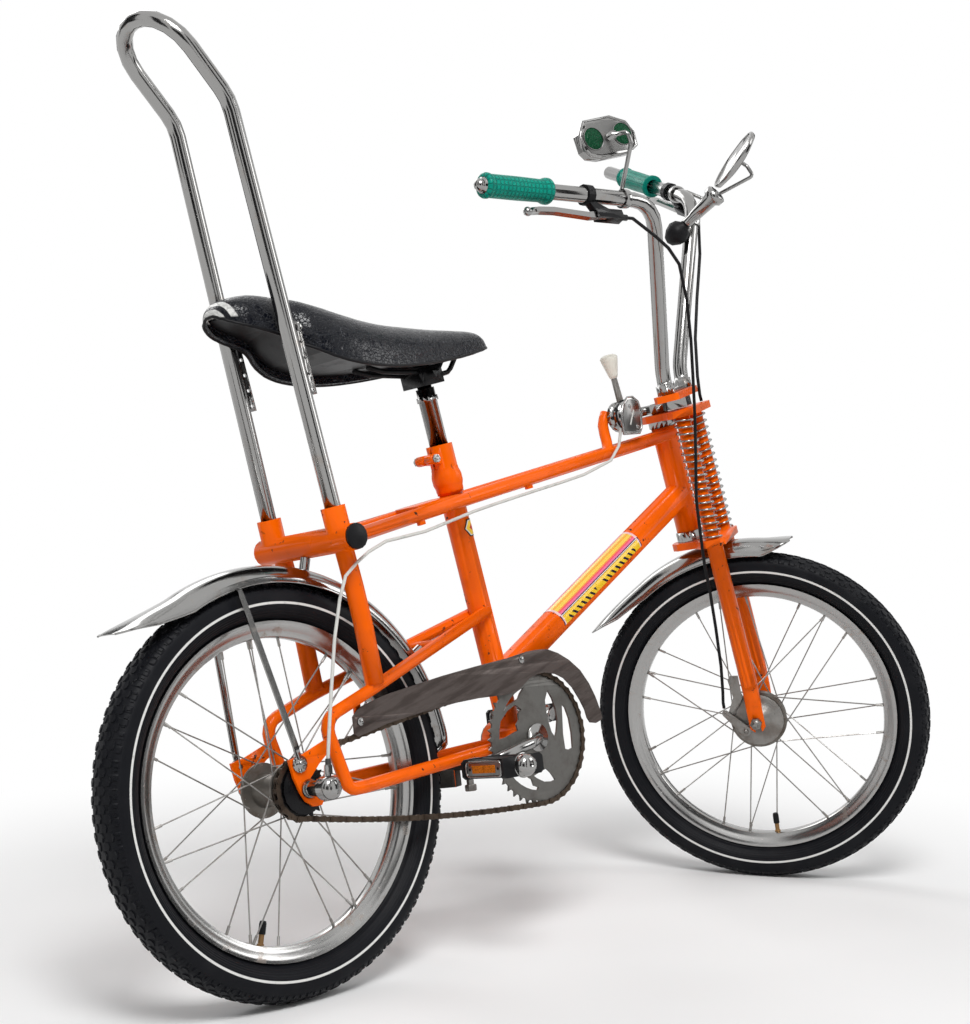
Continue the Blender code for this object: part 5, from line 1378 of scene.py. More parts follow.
@dataclass
class Drive:
    """The roller chain on its path round the ring and the sprocket."""

    frame: Matrix
    pitch: float = 12.7
    ring_teeth: int = 44
    sprocket_teeth: int = 18
    crank_x: float = 409.0
    crank_z: float = 16.5
    chain_y: float = -46.0
    sag: float = 8.0
    leaves_ring: float = 5.0
    meets_sprocket: float = 5.2
    ring_steps: int = 120
    sprocket_steps: int = 60

    def build(self) -> None:
        """Makes the chain."""
        pins = self.pins()
        outer, inner = [], []
        for i, pin in enumerate(pins):
            after = pins[(i + 1) % len(pins)]
            run = after - pin
            turn = Matrix.Rotation(-math.atan2(run.z, run.x), 4, "Y")
            place = Matrix.Translation(((pin + after) / 2)) @ turn
            (outer if i % 2 else inner).append(place)
        wide = self.link(2.9, 3.7)
        narrow = self.link(1.75, 2.6)
        chain = Bench.join([Bench.copies(wide, outer), Bench.copies(narrow, inner), self.rollers(pins)])
        Bench.settle(chain, "chain_links", self.frame, CHAIN_STEEL, Body.FRAME, ["chain"])

    def pins(self) -> Path:
        """The chain's pins, one pitch apart round the whole loop.

        Returns:
            The pins' places in order.
        """
        small = self.pitch / (2 * math.sin(math.pi / self.sprocket_teeth))
        large = self.pitch / (2 * math.sin(math.pi / self.ring_teeth))
        span = math.hypot(self.crank_x, self.crank_z)
        tilt = math.atan2(self.crank_z, self.crank_x)
        top = math.pi / 2 + tilt + math.asin((large - small) / span)
        low = -math.pi / 2 + tilt - math.radians(self.leaves_ring)
        back = -math.pi / 2 + tilt + math.radians(self.meets_sprocket) + 2 * math.pi
        loop = []
        for i in range(self.ring_steps + 1):
            a = top - (top - low) * i / self.ring_steps
            loop.append(Vector((self.crank_x + large * math.cos(a), self.chain_y,
                                self.crank_z + large * math.sin(a))))
        first = Vector((small * math.cos(back), self.chain_y, small * math.sin(back)))
        last = loop[-1]
        for i in range(1, self.sprocket_steps):
            share = i / self.sprocket_steps
            drop = Vector((0, 0, 4 * self.sag * share * (1 - share)))
            loop.append(last + (first - last) * share - drop)
        for i in range(self.sprocket_steps + 1):
            a = back - (back - top) * i / self.sprocket_steps
            loop.append(Vector((small * math.cos(a), self.chain_y, small * math.sin(a))))
        lengths = [0.0]
        for a, b in zip(loop, loop[1:] + loop[:1]):
            lengths.append(lengths[-1] + (b - a).length)
        count = 2 * round(lengths[-1] / self.pitch / 2)
        step = lengths[-1] / count
        seat = 2 * math.pi / self.ring_teeth
        phase = ((top % seat) * large) % step
        pins = []
        for i in range(count):
            want = (phase + i * step) % lengths[-1]
            k = next(j for j in range(len(loop)) if lengths[j] <= want < lengths[j + 1] + 1e-9)
            share = (want - lengths[k]) / (lengths[k + 1] - lengths[k])
            pins.append(loop[k].lerp(loop[(k + 1) % len(loop)], share))
        return pins

    def link(self, low: float, high: float) -> bpy.types.Object:
        """The two waisted plates of a link, at both sides of the chain.

        Args:
            low: Where each plate starts, from the middle of the chain.
            high: Where it ends.

        Returns:
            Both plates as one piece.
        """
        half, end, waist = self.pitch / 2, 4.0, 2.7
        outline = []
        for side in (1, -1):
            for k in range(7):
                a = math.radians(-120 + 40 * k) if side > 0 else math.radians(60 + 40 * k)
                outline.append((side * half + end * math.cos(a), end * math.sin(a)))
            outline.append((0.0, side * waist))
        turn = Matrix.Rotation(math.radians(90), 4, "X")
        plates = []
        for side in (-1, 1):
            middle = side * (low + high) / 2
            plates.append(Bench.plate(outline, high - low, 0.0, Matrix.Translation((0, middle, 0)) @ turn))
        return Bench.join(plates)

    def rollers(self, pins: Path) -> bpy.types.Object:
        """A roller and a riveted pin at every joint of the chain.

        Args:
            pins: The pins' places.

        Returns:
            All rollers and pins as one piece.
        """
        profile = [(0, -4.2), (1.7, -4.2), (1.7, -1.7), (3.8, -1.7), (3.8, 1.7), (1.7, 1.7), (1.7, 4.2),
                   (0, 4.2)]
        master = Bench.lathe(profile, 8)
        return Bench.copies(master, [Matrix.Translation(pin) for pin in pins])


@dataclass
class Pedal:
    """What is bright on a pedal: cap, end plates and reflectors with their frames."""

    name: str
    body: Body
    frame: Matrix
    side: int

    def build(self) -> None:
        """Makes the pedal's bright pieces."""
        s = self.side
        cap = Bench.lathe([(0, 169.6), (2.2, 169.8), (3.4, 170.9), (8, 170.4), (11.6, 168.4), (14.0, 164.5),
                           (15.0, 160.0), (15.2, 156.5), (16.0, 156.2), (16.0, 155.2), (0, 155.2)], 28, False,
                          (0, s, 0))
        Bench.settle(cap, f"{self.name}_cap", self.frame, CHROME, self.body)
        for face in (-1, 1):
            self.reflector(face)

    def reflector(self, face: int) -> None:
        """One reflector in its frame, on the front or the back block.

        Args:
            face: 1 for the front block and -1 for the rear one.
        """
        s = self.side
        name = f"{self.name}_{'rear' if face < 0 else 'front'}"
        turn = Matrix.Translation((face * 32.0, s * 117.5, 0)) @ Matrix.Rotation(math.radians(90), 4, "Y")
        holder = Bench.plate(self.rounded(10.5, 33.0, 6.0), 2.4, 0.6, turn)
        Bench.settle(holder, f"{name}_holder", self.frame, DULL_CHROME, self.body)
        lip = [Matrix.Translation((face * 1.6, 0, 0)) @ turn @ Vector((x, y, 0)) for x, y in
               self.rounded(9.6, 32.1, 5.4)]
        Bench.settle(Bench.wires([lip], 1.3, 8, True), f"{name}_lip", self.frame, CHROME, self.body, angle=60)
        lenses = [Bench.plate(self.rounded(5.0, 10.3, 0.8), 1.8, 0.3,
                              Matrix.Translation((face * 1.3, k * 10.7, 0)) @ turn) for k in (-1, 1)]
        Bench.settle(Bench.join(lenses), f"{name}_lens", self.frame, AMBER_LENS, self.body)
        screws = [Bench.lathe([(0, 33.0), (1.6, 33.0), (1.9, 33.6), (1.2, 34.0), (0, 34.1)], 12, False,
                              (face, 0, 0), (0, s * 117.5 + k * 26.0, 0)) for k in (-1, 1)]
        Bench.settle(Bench.join(screws), f"{name}_screws", self.frame, BLACK_PLASTIC, self.body)

    @staticmethod
    def rounded(half_x: float, half_y: float, corner: float) -> list[tuple[float, float]]:
        """A rectangle with round corners.

        Args:
            half_x: Half of its length in X.
            half_y: Half of its length in Y.
            corner: The radius of its corners.

        Returns:
            Its outline.
        """
        points = []
        for sx, sy, start in ((1, 1, 0), (-1, 1, 90), (-1, -1, 180), (1, -1, 270)):
            for k in range(5):
                a = math.radians(start + 22.5 * k)
                points.append((sx * (half_x - corner) + corner * math.cos(a),
                               sy * (half_y - corner) + corner * math.sin(a)))
        return points


@dataclass
class Bars:
    """What is fitted to the handlebar: grips, mirror glasses, lenses, clamps, and painted shade in the horn's
    slots.
    """

    frame: Matrix
    foot: tuple = (31.4, 70.0, 514.0)
    kink: tuple = (33.0, 71.5, 545.0)
    corner: tuple = (101.0, 175.0, 791.0)
    end: tuple = (-71.0, 426.0, 869.0)
    grip_radius: float = 17.0
    grip_length: float = 112.0
    bar_radius: float = 11.1

    def points(self, side: int) -> Path:
        """Foot, kink, corner and end of one side; the used bar sits lower on its right.

        Args:
            side: -1 for the right side and 1 for the left one.

        Returns:
            The four points.
        """
        lift = {-1: (-5.0, -19.0), 1: (7.0, 31.0)}[side]
        points = [list(self.foot), list(self.kink), list(self.corner), list(self.end)]
        points[2][2] += lift[0]
        points[3][2] += lift[1]
        return [Vector((u, side * v, w)) for u, v, w in points]

    def at(self, side: int, distance: float) -> tuple[Vector, Vector]:
        """A point of the straight end at a distance from its tip, and the direction outwards.

        Args:
            side: -1 for the right side and 1 for the left one.
            distance: The distance from the tip.

        Returns:
            The point and the direction.
        """
        corner, end = self.points(side)[2:]
        out = (end - corner).normalized()
        return end - out * distance, out

    def build(self, frames: Frames) -> None:
        """Makes the fittings.

        Args:
            frames: The bike's frames.
        """
        for side, name, start in ((-1, "right", 2.0), (1, "left", 62.0)):
            self.grip(side, name, start)
        self.octagon(frames)
        self.oval(frames)
        self.clamps()
        self.horn_slots()

    def grip(self, side: int, name: str, start: float) -> None:
        """One grip with its rolled flange and ribbed ends.

        Args:
            side: -1 for the right side and 1 for the left one.
            name: The side's name.
            start: The distance of the grip's outer end from the bar's tip.
        """
        at, out = self.at(side, start)
        r, inner, length = self.grip_radius, self.bar_radius + 0.4, self.grip_length
        body = [(inner, 0), (r - 3, 0), (r - 0.6, 1.2), (r + 0.6, 4), (r + 0.4, 7), (r - 1.2, 9)]
        body += [(r - 0.9, 12), (r - 0.7, length * 0.5), (r - 1.3, length - 14), (r - 0.2, length - 11),
                 (r + 1.2, length - 7), (r + 1.4, length - 2), (r + 0.4, length), (inner, length)]
        piece = Bench.lathe(body, 40, True, -out, at)
        place = self.frame @ Matrix.Translation(at * MM) @ turned_to(-out)
        rubber = GripRubber(f"grip_rubber_{name}", "teal_rubber", place)
        Bench.settle(piece, f"grip_{name}_shown", self.frame, rubber, Body.STEERING, [f"grip_{name}"], 50)

    def octagon(self, frames: Frames) -> None:
        """The eight-cornered mirror's glass and the two green lenses on its back.

        Args:
            frames: The bike's frames.
        """
        base = frames.at_joint("mirror_octagon_turn", self.frame)
        z = Vector((0.76, -0.62, 0.1)).normalized()
        x = Vector((0.6, 0.8, 0.0))
        x = (x - z * x.dot(z)).normalized()
        head = Matrix((x, z.cross(x), z)).transposed().to_4x4()
        head.translation = Vector((-6, 7.1, 76.8))
        outline = [(-46, -12), (-46, 8), (-34, 26), (12, 27), (37, 16), (46, 2), (44, -17), (28, -25),
                   (-22, -26), (-40, -21)]
        glass = Bench.plate(outline, 1.0, 0.2, head @ Matrix.Translation((0, 0, -6.9)))
        Bench.settle(glass, "mirror_octagon_glass", base, MIRROR_GLASS, Body.MIRROR_OCTAGON)
        lip = Bench.wires([[head @ Vector((u * 1.03, v * 1.06, 6.4)) for u, v in outline]], 1.6, 8, True)
        Bench.settle(lip, "mirror_octagon_lip", base, CHROME, Body.MIRROR_OCTAGON, angle=60)
        back = Bench.plate([(u * 0.93, v * 0.9) for u, v in outline], 1.2, 0.3,
                           head @ Matrix.Translation((0, 0, 6.6)))
        Bench.settle(back, "mirror_octagon_back", base, DULL_CHROME, Body.MIRROR_OCTAGON)
        for index, u in enumerate((-27.0, 26.0)):
            lens = Bench.lathe([(0, 10.4), (7, 10.1), (13, 9.0), (15.6, 7.6), (15.8, 6.2), (0, 6.2)], 32,
                               False, (0, 0, 1))
            lens.data.transform(head @ Matrix.Translation((u, 1.0, 0)))
            Bench.settle(lens, f"mirror_lens_{index + 1}", base, GREEN_LENS, Body.MIRROR_OCTAGON)
            ring = Bench.lathe([(15.6, 6.4), (17.4, 6.4), (17.0, 8.2), (15.9, 8.5)], 32, True, (0, 0, 1))
            ring.data.transform(head @ Matrix.Translation((u, 1.0, 0)))
            Bench.settle(ring, f"mirror_lens_ring_{index + 1}", base, DULL_CHROME, Body.MIRROR_OCTAGON)

    def oval(self, frames: Frames) -> None:
        """The oval mirror's glass and rim.

        Args:
            frames: The bike's frames.
        """
        base = frames.at_joint("mirror_oval_turn", self.frame)
        z = Vector((-0.61, -0.33, 0.71)).normalized()
        x = Vector((0.75, 0.0, 0.66))
        x = (x - z * x.dot(z)).normalized()
        head = Matrix((x, z.cross(x), z)).transposed().to_4x4()
        head.translation = Vector((92, -6, 24))
        stretch = Matrix.Diagonal((1.45, 1.0, 1.0, 1.0))
        shell = Bench.lathe([(0, -7.0), (12, -6.2), (24, -3.6), (33, 0.4), (35.8, 3.4), (36.2, 6.2),
                             (35.4, 8.0), (33.6, 8.4), (32.8, 7.4), (32.6, 6.6), (0, 6.6)], 56, False,
                            (0, 0, 1))
        shell.data.transform(head @ stretch)
        Bench.settle(shell, "mirror_oval_bowl", base, CHROME, Body.MIRROR_OVAL, angle=50)
        glass = Bench.lathe([(0, 7.4), (16, 7.3), (32.4, 6.9), (32.4, 6.0), (0, 6.0)], 56, False, (0, 0, 1))
        glass.data.transform(head @ stretch)
        Bench.settle(glass, "mirror_oval_glass", base, MIRROR_GLASS, Body.MIRROR_OVAL)

    def clamps(self) -> None:
        """The small bands that hold the two mirrors' feet on the bar."""
        for side, distance, name in ((-1, 254, "octagon"), (1, 262, "oval")):
            at, out = self.at(side, distance)
            r = self.bar_radius
            band = Bench.lathe([(r + 0.3, -5), (r + 2.4, -5), (r + 2.8, -4), (r + 2.8, 4), (r + 2.4, 5),
                                (r + 0.3, 5)], 32, True, out, at)
            Bench.settle(band, f"mirror_clamp_{name}", self.frame, CHROME, Body.STEERING)

    def horn_slots(self) -> None:
        """Black plates painted as the shade inside the slots round the horn's cap, and the cap's middle
        screw.
        """
        neck, end = Vector((88.0, 124.0, 760.0)), Vector((149.0, 122.0, 794.5))
        run = (end - neck).normalized()
        turn = Matrix.Translation(end) @ turned_to(run)
        # Painted shade: each slot is a thin black plate on the cap that stands for the dark inside the
        # opening.
        slots = []
        for k in range(6):
            a = math.radians(60 * k)
            outline = [(7.5, -2.6), (12.5, -3.4), (12.5, 3.4), (7.5, 2.6)]
            slots.append(Bench.plate(outline, 1.2, 0.2, turn @ Matrix.Rotation(a, 4, "Z")))
        Bench.settle(Bench.join(slots), "horn_slots", self.frame, BLACK_PLASTIC, Body.STEERING)
        screw = Bench.lathe([(0, 2.2), (1.8, 2.0), (3.2, 1.0), (3.4, -0.5), (0, -0.5)], 16, False, run, end)
        Bench.settle(screw, "horn_screw", self.frame, CHROME, Body.STEERING)


@dataclass
class ForkSprings:
    """The two chromed coils between the fork's crowns."""

    frame: Matrix
    leg_u: float = 42.7
    leg_v: float = 53.1
    radius: float = 14.2
    wire: float = 1.7
    low: float = 284.0
    high: float = 471.0
    turns: float = 17.5
    turn_steps: int = 28

    def build(self) -> None:
        """Makes both coils."""
        for side, name in ((-1, "right"), (1, "left")):
            steps = round(self.turns * self.turn_steps)
            path = []
            for i in range(steps + 1):
                a = 2 * math.pi * self.turns * i / steps
                path.append(Vector((self.leg_u + self.radius * math.cos(a),
                                    side * (self.leg_v + self.radius * math.sin(a)),
                                    self.low + (self.high - self.low) * i / steps)))
            Bench.settle(Bench.wires([path], self.wire, 8), f"fork_coil_{name}", self.frame, CHROME,
                         Body.STEERING, [f"fork_spring_{name}"], 70)


@dataclass
class Trim:
    """Transfers, screws, marks and small fittings on the frame."""

    frame: Matrix
    seat_tube_lean: float = 10.61
    seat_tube_foot: float = 410.8
    down_tube: tuple = ((825.9, 0, 351.1), (392.4, 0, 98.0))
    transfer_from: float = 148
    transfer_length: float = 212

    def build(self) -> None:
        """Makes the trim."""
        self.down_tube_transfer()
        self.seat_tube_badge()
        self.seat_tube_sleeve()
        self.shifter_plate()
        self.cable_clips()
        self.cable_box()
        self.stand_housing()
        self.guard_screws()

    def patch(self, start: Vector, run: Vector, length: float, radius: float, low: float, high: float,
              up: Vector) -> bpy.types.Object:
        """A thin curved sheet on a tube.

        Args:
            start: Where it starts on the tube's axis.
            run: The tube's direction.
            length: Its length.
            radius: Its radius.
            low: The angle of its first edge from the right side, upwards.
            high: The angle of its last edge.
            up: The direction of 90 degrees.

        Returns:
            The sheet.
        """
        right = Vector((0, -1, 0))
        rows = []
        for i in range(13):
            at = start + run * (length * i / 12)
            row = []
            for k in range(37):
                a = math.radians(low + (high - low) * k / 36)
                row.append(at + (right * math.cos(a) + up * math.sin(a)) * radius)
            rows.append(row)
        sheet = Bench.skin(rows)
        return Bench.modify(sheet, "SOLIDIFY", thickness=0.15, offset=0.0)

    def down_tube_transfer(self) -> None:
        """The striped transfer that wraps over the down tube."""
        top, low = Vector(self.down_tube[0]), Vector(self.down_tube[1])
        run = (low - top).normalized()
        up = Vector((run.z, 0, -run.x))
        up = up if up.z > 0 else -up
        start = top + run * self.transfer_from
        axes = Matrix((run, Vector((0, 1, 0)), up)).transposed().to_4x4()
        place = self.frame @ Matrix.Translation(start * MM) @ axes
        finish = Transfer("down_tube_transfer", "orange_paint", place)
        sheet = self.patch(start, run, self.transfer_length, 20.2, -18, 198, up)
        Bench.settle(sheet, "down_tube_transfer", self.frame, finish, Body.FRAME, angle=60)

    def seat_tube_badge(self) -> None:
        """The small plain badge on the seat tube's front."""
        lean = math.radians(self.seat_tube_lean)
        run = Vector((-math.sin(lean), 0, math.cos(lean)))
        ahead = Vector((math.cos(lean), 0, math.sin(lean)))
        start = Vector((self.seat_tube_foot - math.tan(lean) * 298, 0, 298))
        layers = (("edge", 0.0, 0.0, BLACK_PLASTIC), ("border", 1.3, 0.1, WHITE_PLASTIC),
                  ("face", 2.6, 0.2, CREAM_YELLOW), ("middle", 7.2, 0.3, BADGE_RED))
        for name, inset, lift, finish in layers:
            rows = []
            for i in range(9):
                share = i / 8
                wide = 112 - 24 * abs(share - 0.5) * 2 - inset * 4.2
                at = start + run * (inset + (24 - 2 * inset) * share)
                rows.append([at + (ahead * math.cos(a) + Vector((0, -1, 0)) * math.sin(a)) * (16.75 + lift)
                             for a in (math.radians(-wide + 2 * wide * k / 36) for k in range(37))])
            sheet = Bench.modify(Bench.skin(rows), "SOLIDIFY", thickness=0.12, offset=0.0)
            Bench.settle(sheet, f"seat_tube_badge_{name}", self.frame, finish, Body.FRAME, angle=60)

    def seat_tube_sleeve(self) -> None:
        """The rounded collar where the seat tube's sleeve is brazed on."""
        lean = math.radians(self.seat_tube_lean)
        run = Vector((-math.sin(lean), 0, math.cos(lean)))
        foot = Vector((self.seat_tube_foot - math.tan(lean) * 360, 0, 360))
        profile = [(17.0, 0), (18.9, 4), (19.0, 9), (20.0, 12), (20.9, 15), (21.0, 24), (20.3, 28),
                   (19.0, 32), (18.7, 36), (17.0, 36)]
        Bench.settle(Bench.lathe(profile, 40, True, run, foot), "seat_tube_collar", self.frame, ORANGE,
                     Body.FRAME, angle=50)

    def shifter_plate(self) -> None:
        """The gear changer's dark plate with its bright rim and pale mark, and the black band of its drum."""
        outline = [(672, 436), (707, 438), (713, 446), (716, 470), (711, 486), (700, 493), (688, 492),
                   (678, 483), (671, 466)]
        middle = (692.0, 466.0)
        turn = Matrix.Rotation(math.radians(90), 4, "X")
        inner = [(middle[0] + (x - middle[0]) * 0.86, middle[1] + (z - middle[1]) * 0.86) for x, z in outline]
        plate = Bench.plate(inner, 1.0, 0.3, Matrix.Translation((0, -36.2, 0)) @ turn)
        Bench.settle(plate, "shifter_face", self.frame, DULL_CHROME, Body.FRAME)
        rim = [Vector((x, -35.9, z)) for x, z in outline]
        Bench.settle(Bench.wires([rim], 1.5, 8, True), "shifter_rim", self.frame, CHROME, Body.FRAME,
                     angle=60)
        mark = Bench.plate([(686.5, 451), (689, 450.2), (699.5, 472.5), (697.2, 473.5)], 0.8, 0.2,
                           Matrix.Translation((0, -36.7, 0)) @ turn)
        Bench.settle(mark, "shifter_mark", self.frame, WHITE_PLASTIC, Body.FRAME)
        head = [(0, 38.2), (2.2, 37.8), (3.2, 36.9), (3.2, 36.0), (0, 36.0)]
        screws = [Bench.lathe(head, 16, False, (0, -1, 0), (x, 0, z)) for x, z in ((690, 478), (703, 448))]
        Bench.settle(Bench.join(screws), "shifter_screws", self.frame, CHROME, Body.FRAME)
        band = Bench.lathe([(23.1, 26), (24.0, 26.4), (24.0, 29.2), (23.1, 29.6)], 40, True, (0, -1, 0),
                           (692, 0, 466))
        Bench.settle(band, "shifter_band", self.frame, BLACK_PLASTIC, Body.FRAME)

    def cable_clips(self) -> None:
        """The small tabs under the right top tube that the gear cable passes."""
        slope = Matrix.Rotation(math.radians(-11.4), 4, "Y")
        tabs = [Bench.plate(Pedal.rounded(5.5, 3.6, 1.5), 8.0, 0.8, Matrix.Translation(at) @ slope)
                for at in ((247, -40, 318.5), (472, -23.5, 364.5))]
        Bench.settle(Bench.join(tabs), "cable_tabs", self.frame, ORANGE, Body.FRAME)

    def cable_box(self) -> None:
        """The nut, the sleeve and the round cover on the axle's end, and the cable's brown ferrule."""
        nut = Bench.lathe([(0, 61.5), (11.0, 61.5), (12.2, 63.5), (12.2, 66), (10.2, 70.5), (10.0, 70.5),
                           (9.9, 88), (11.5, 90), (0, 90)], 28, False, (0, -1, 0))
        Bench.settle(nut, "cable_box_sleeve", self.frame, CHROME, Body.FRAME)
        cover = Bench.lathe([(0, 89.5), (12.5, 89.5), (14.6, 91), (15.0, 95), (14.4, 99), (14.9, 102),
                             (14.2, 107), (11.0, 111), (6.5, 113), (0, 113.6)], 32, False, (0, -1, 0))
        Bench.settle(cover, "cable_box_cover", self.frame, CHROME, Body.FRAME)
        hook = curved([(-7.5, -112.6, 2.5), (-6.5, -113.4, 8.5), (-1.5, -113.6, 10.5), (3.5, -113.2, 8.5),
                       (4.0, -112.9, 0), (4.0, -112.4, -8)], 1.5)
        Bench.settle(Bench.wires([hook], 1.6, 8), "cable_box_rib", self.frame, CHROME, Body.FRAME, angle=60)
        ferrule = Bench.lathe([(0, -1), (4.9, -1), (4.9, 9), (3.6, 10.5), (3.2, 17), (0, 17)], 18, False,
                              (0.05, -0.01, 1.0), (3.4, -98.3, 17.5))
        Bench.settle(ferrule, "cable_ferrule", self.frame, CAST_STEEL, Body.FRAME)

    def stand_housing(self) -> None:
        """The dark cast block over the stand's pivot, with the bright head of its bolt."""
        axis = Vector((-0.4472, 0.8944, 0.0))
        middle = Vector((268.0, 41.0, -22.0)) - axis * 30.6
        turn = Matrix((Vector((0.8944, 0.4472, 0.0)), axis, Vector((0, 0, 1)))).transposed().to_4x4()
        block = Bench.plate(Pedal.rounded(11.9, 24.9, 4.0), 23.6, 1.2, Matrix.Translation(middle) @ turn)
        riser = Bench.plate(Pedal.rounded(17.8, 30.8, 4.0), 15.0, 1.2, Matrix.Translation((300, 0, -4.6)))
        Bench.settle(Bench.join([block, riser]), "stand_casting", self.frame, CAST_STEEL, Body.FRAME)
        head = Bench.lathe([(0, 28.6), (5.0, 28.6), (5.0, 52.8), (7.4, 52.8), (8.0, 54.0), (8.0, 60.2),
                            (6.8, 61.4), (0, 61.4)], 6, False, (0, 0, -1), (300.5, -22.0, 20.0))
        Bench.settle(head, "stand_bolt", self.frame, GREY_STEEL, Body.FRAME)

    def guard_screws(self) -> None:
        """The guard's bright screws."""
        head = [(0, 59.6), (2.8, 59.0), (5.0, 57.6), (5.2, 55.6), (0, 55.6)]
        screws = [Bench.lathe(head, 20, False, (0, -1, 0), (x, 0, z)) for x, z in ((95, 71), (387, 124))]
        Bench.settle(Bench.join(screws), "guard_screws", self.frame, CHROME, Body.FRAME)


@dataclass
class Studio:
    """The pale floor, the soft lights and the camera at the photograph's angle."""

    frame: Matrix
    camera_at: tuple = (-1403.56, -1868.70, 141.66)
    yaw: float = 45.95
    pitch: float = 4.20
    roll: float = -6.35
    lens: float = 65.91
    sensor: float = 36.0
    card_reach: float = 5.0
    ambient: float = 0.36

    def build(self) -> None:
        """Sets the scene."""
        self.floor()
        self.world()
        self.cards()
        self.lamp("key_light", (-1.6, -2.2, 3.8), 1.6, 128.0)
        self.lamp("fill_light", (2.8, -2.4, 2.2), 1.4, 26.0)
        self.lamp("back_light", (0.6, 3.0, 2.8), 1.8, 30.0)
        self.camera()
        bpy.context.scene.view_settings.view_transform = "Standard"

    def floor(self) -> None:
        """The floor."""
        Bench.clear()
        bpy.ops.mesh.primitive_plane_add(size=60.0, location=(0, 0, 0))
        obj = bpy.context.object
        obj.name = "floor"
        obj.data.materials.append(FLOOR.material())

    def cards(self) -> None:
        """Tall grey cards in a ring, which only mirrored rays meet."""
        ring = ((225, 34, 0.0, 2.4), (268, 17, 0.0, 4.5), (184, 20, 0.0, 4.5), (316, 30, 0.0, 5.0),
                (132, 28, 0.0, 5.0), (78, 12, 0.0, 3.5), (14, 14, 0.0, 3.5))
        for index, (degrees, wide, low, high) in enumerate(ring):
            a = math.radians(degrees)
            Bench.clear()
            bpy.ops.mesh.primitive_plane_add(size=1.0)
            obj = bpy.context.object
            reach = self.card_reach
            turn = Matrix.Rotation(a + math.pi / 2, 4, "Z") @ Matrix.Rotation(math.pi / 2, 4, "X")
            size = Matrix.Diagonal((2 * reach * math.tan(math.radians(wide / 2)), high - low, 1.0, 1.0))
            at = Matrix.Translation((reach * math.cos(a), reach * math.sin(a), (low + high) / 2))
            obj.data.transform(at @ turn @ size)
            obj.name = f"grey_card_{index + 1}"
            obj.data.materials.append(GREY_CARD.material())
            obj.visible_camera = False
            obj.visible_diffuse = False
            obj.visible_shadow = False

    def world(self) -> None:
        """A soft light from all round, and white where the camera or a reflection sees it."""
        world = bpy.data.worlds.new("studio")
        bpy.context.scene.world = world
        world.use_nodes = True
        tree = world.node_tree
        back = tree.nodes["Background"]
        path = tree.nodes.new("ShaderNodeLightPath")
        seen = tree.nodes.new("ShaderNodeMath")
        seen.operation = "MAXIMUM"
        tree.links.new(path.outputs["Is Camera Ray"], seen.inputs[0])
        tree.links.new(path.outputs["Is Glossy Ray"], seen.inputs[1])
        also = tree.nodes.new("ShaderNodeMath")
        also.operation = "MAXIMUM"
        tree.links.new(seen.outputs[0], also.inputs[0])
        tree.links.new(path.outputs["Is Transmission Ray"], also.inputs[1])
        strength = tree.nodes.new("ShaderNodeMapRange")
        strength.inputs["To Min"].default_value = self.ambient
        strength.inputs["To Max"].default_value = 1.0
        tree.links.new(also.outputs[0], strength.inputs["Value"])
        back.inputs["Color"].default_value = (1.0, 1.0, 1.0, 1.0)
        tree.links.new(strength.outputs[0], back.inputs["Strength"])

    def lamp(self, name: str, at: tuple, size: float, power: float) -> None:
        """One square soft light aimed at the bike.

        Args:
            name: The lamp's name.
            at: Where it stands.
            size: The length of its sides.
            power: Its power in watts.
        """
        light = bpy.data.lights.new(name, "AREA")
        light.size = size
        light.energy = power
        obj = bpy.data.objects.new(name, light)
        bpy.context.scene.collection.objects.link(obj)
        obj.location = at
        obj.rotation_euler = (Vector((0, 0, 0.5)) - Vector(at)).to_track_quat("-Z", "Y").to_euler()

    def camera(self) -> None:
        """The camera where the photograph was taken from."""
        y, p, r = (math.radians(angle) for angle in (self.yaw, self.pitch, self.roll))
        ahead = Vector((math.cos(p) * math.cos(y), math.cos(p) * math.sin(y), math.sin(p)))
        right = ahead.cross(Vector((0, 0, 1))).normalized()
        up = right.cross(ahead)
        side = right * math.cos(r) + up * math.sin(r)
        top = up * math.cos(r) - right * math.sin(r)
        turn = Matrix((side, top, -ahead)).transposed().to_4x4()
        turn.translation = Vector(self.camera_at) * MM
        data = bpy.data.cameras.new("camera")
        data.lens = self.lens
        data.sensor_width = self.sensor
        obj = bpy.data.objects.new("camera", data)
        bpy.context.scene.collection.objects.link(obj)
        obj.matrix_world = self.frame @ turn
        bpy.context.scene.camera = obj


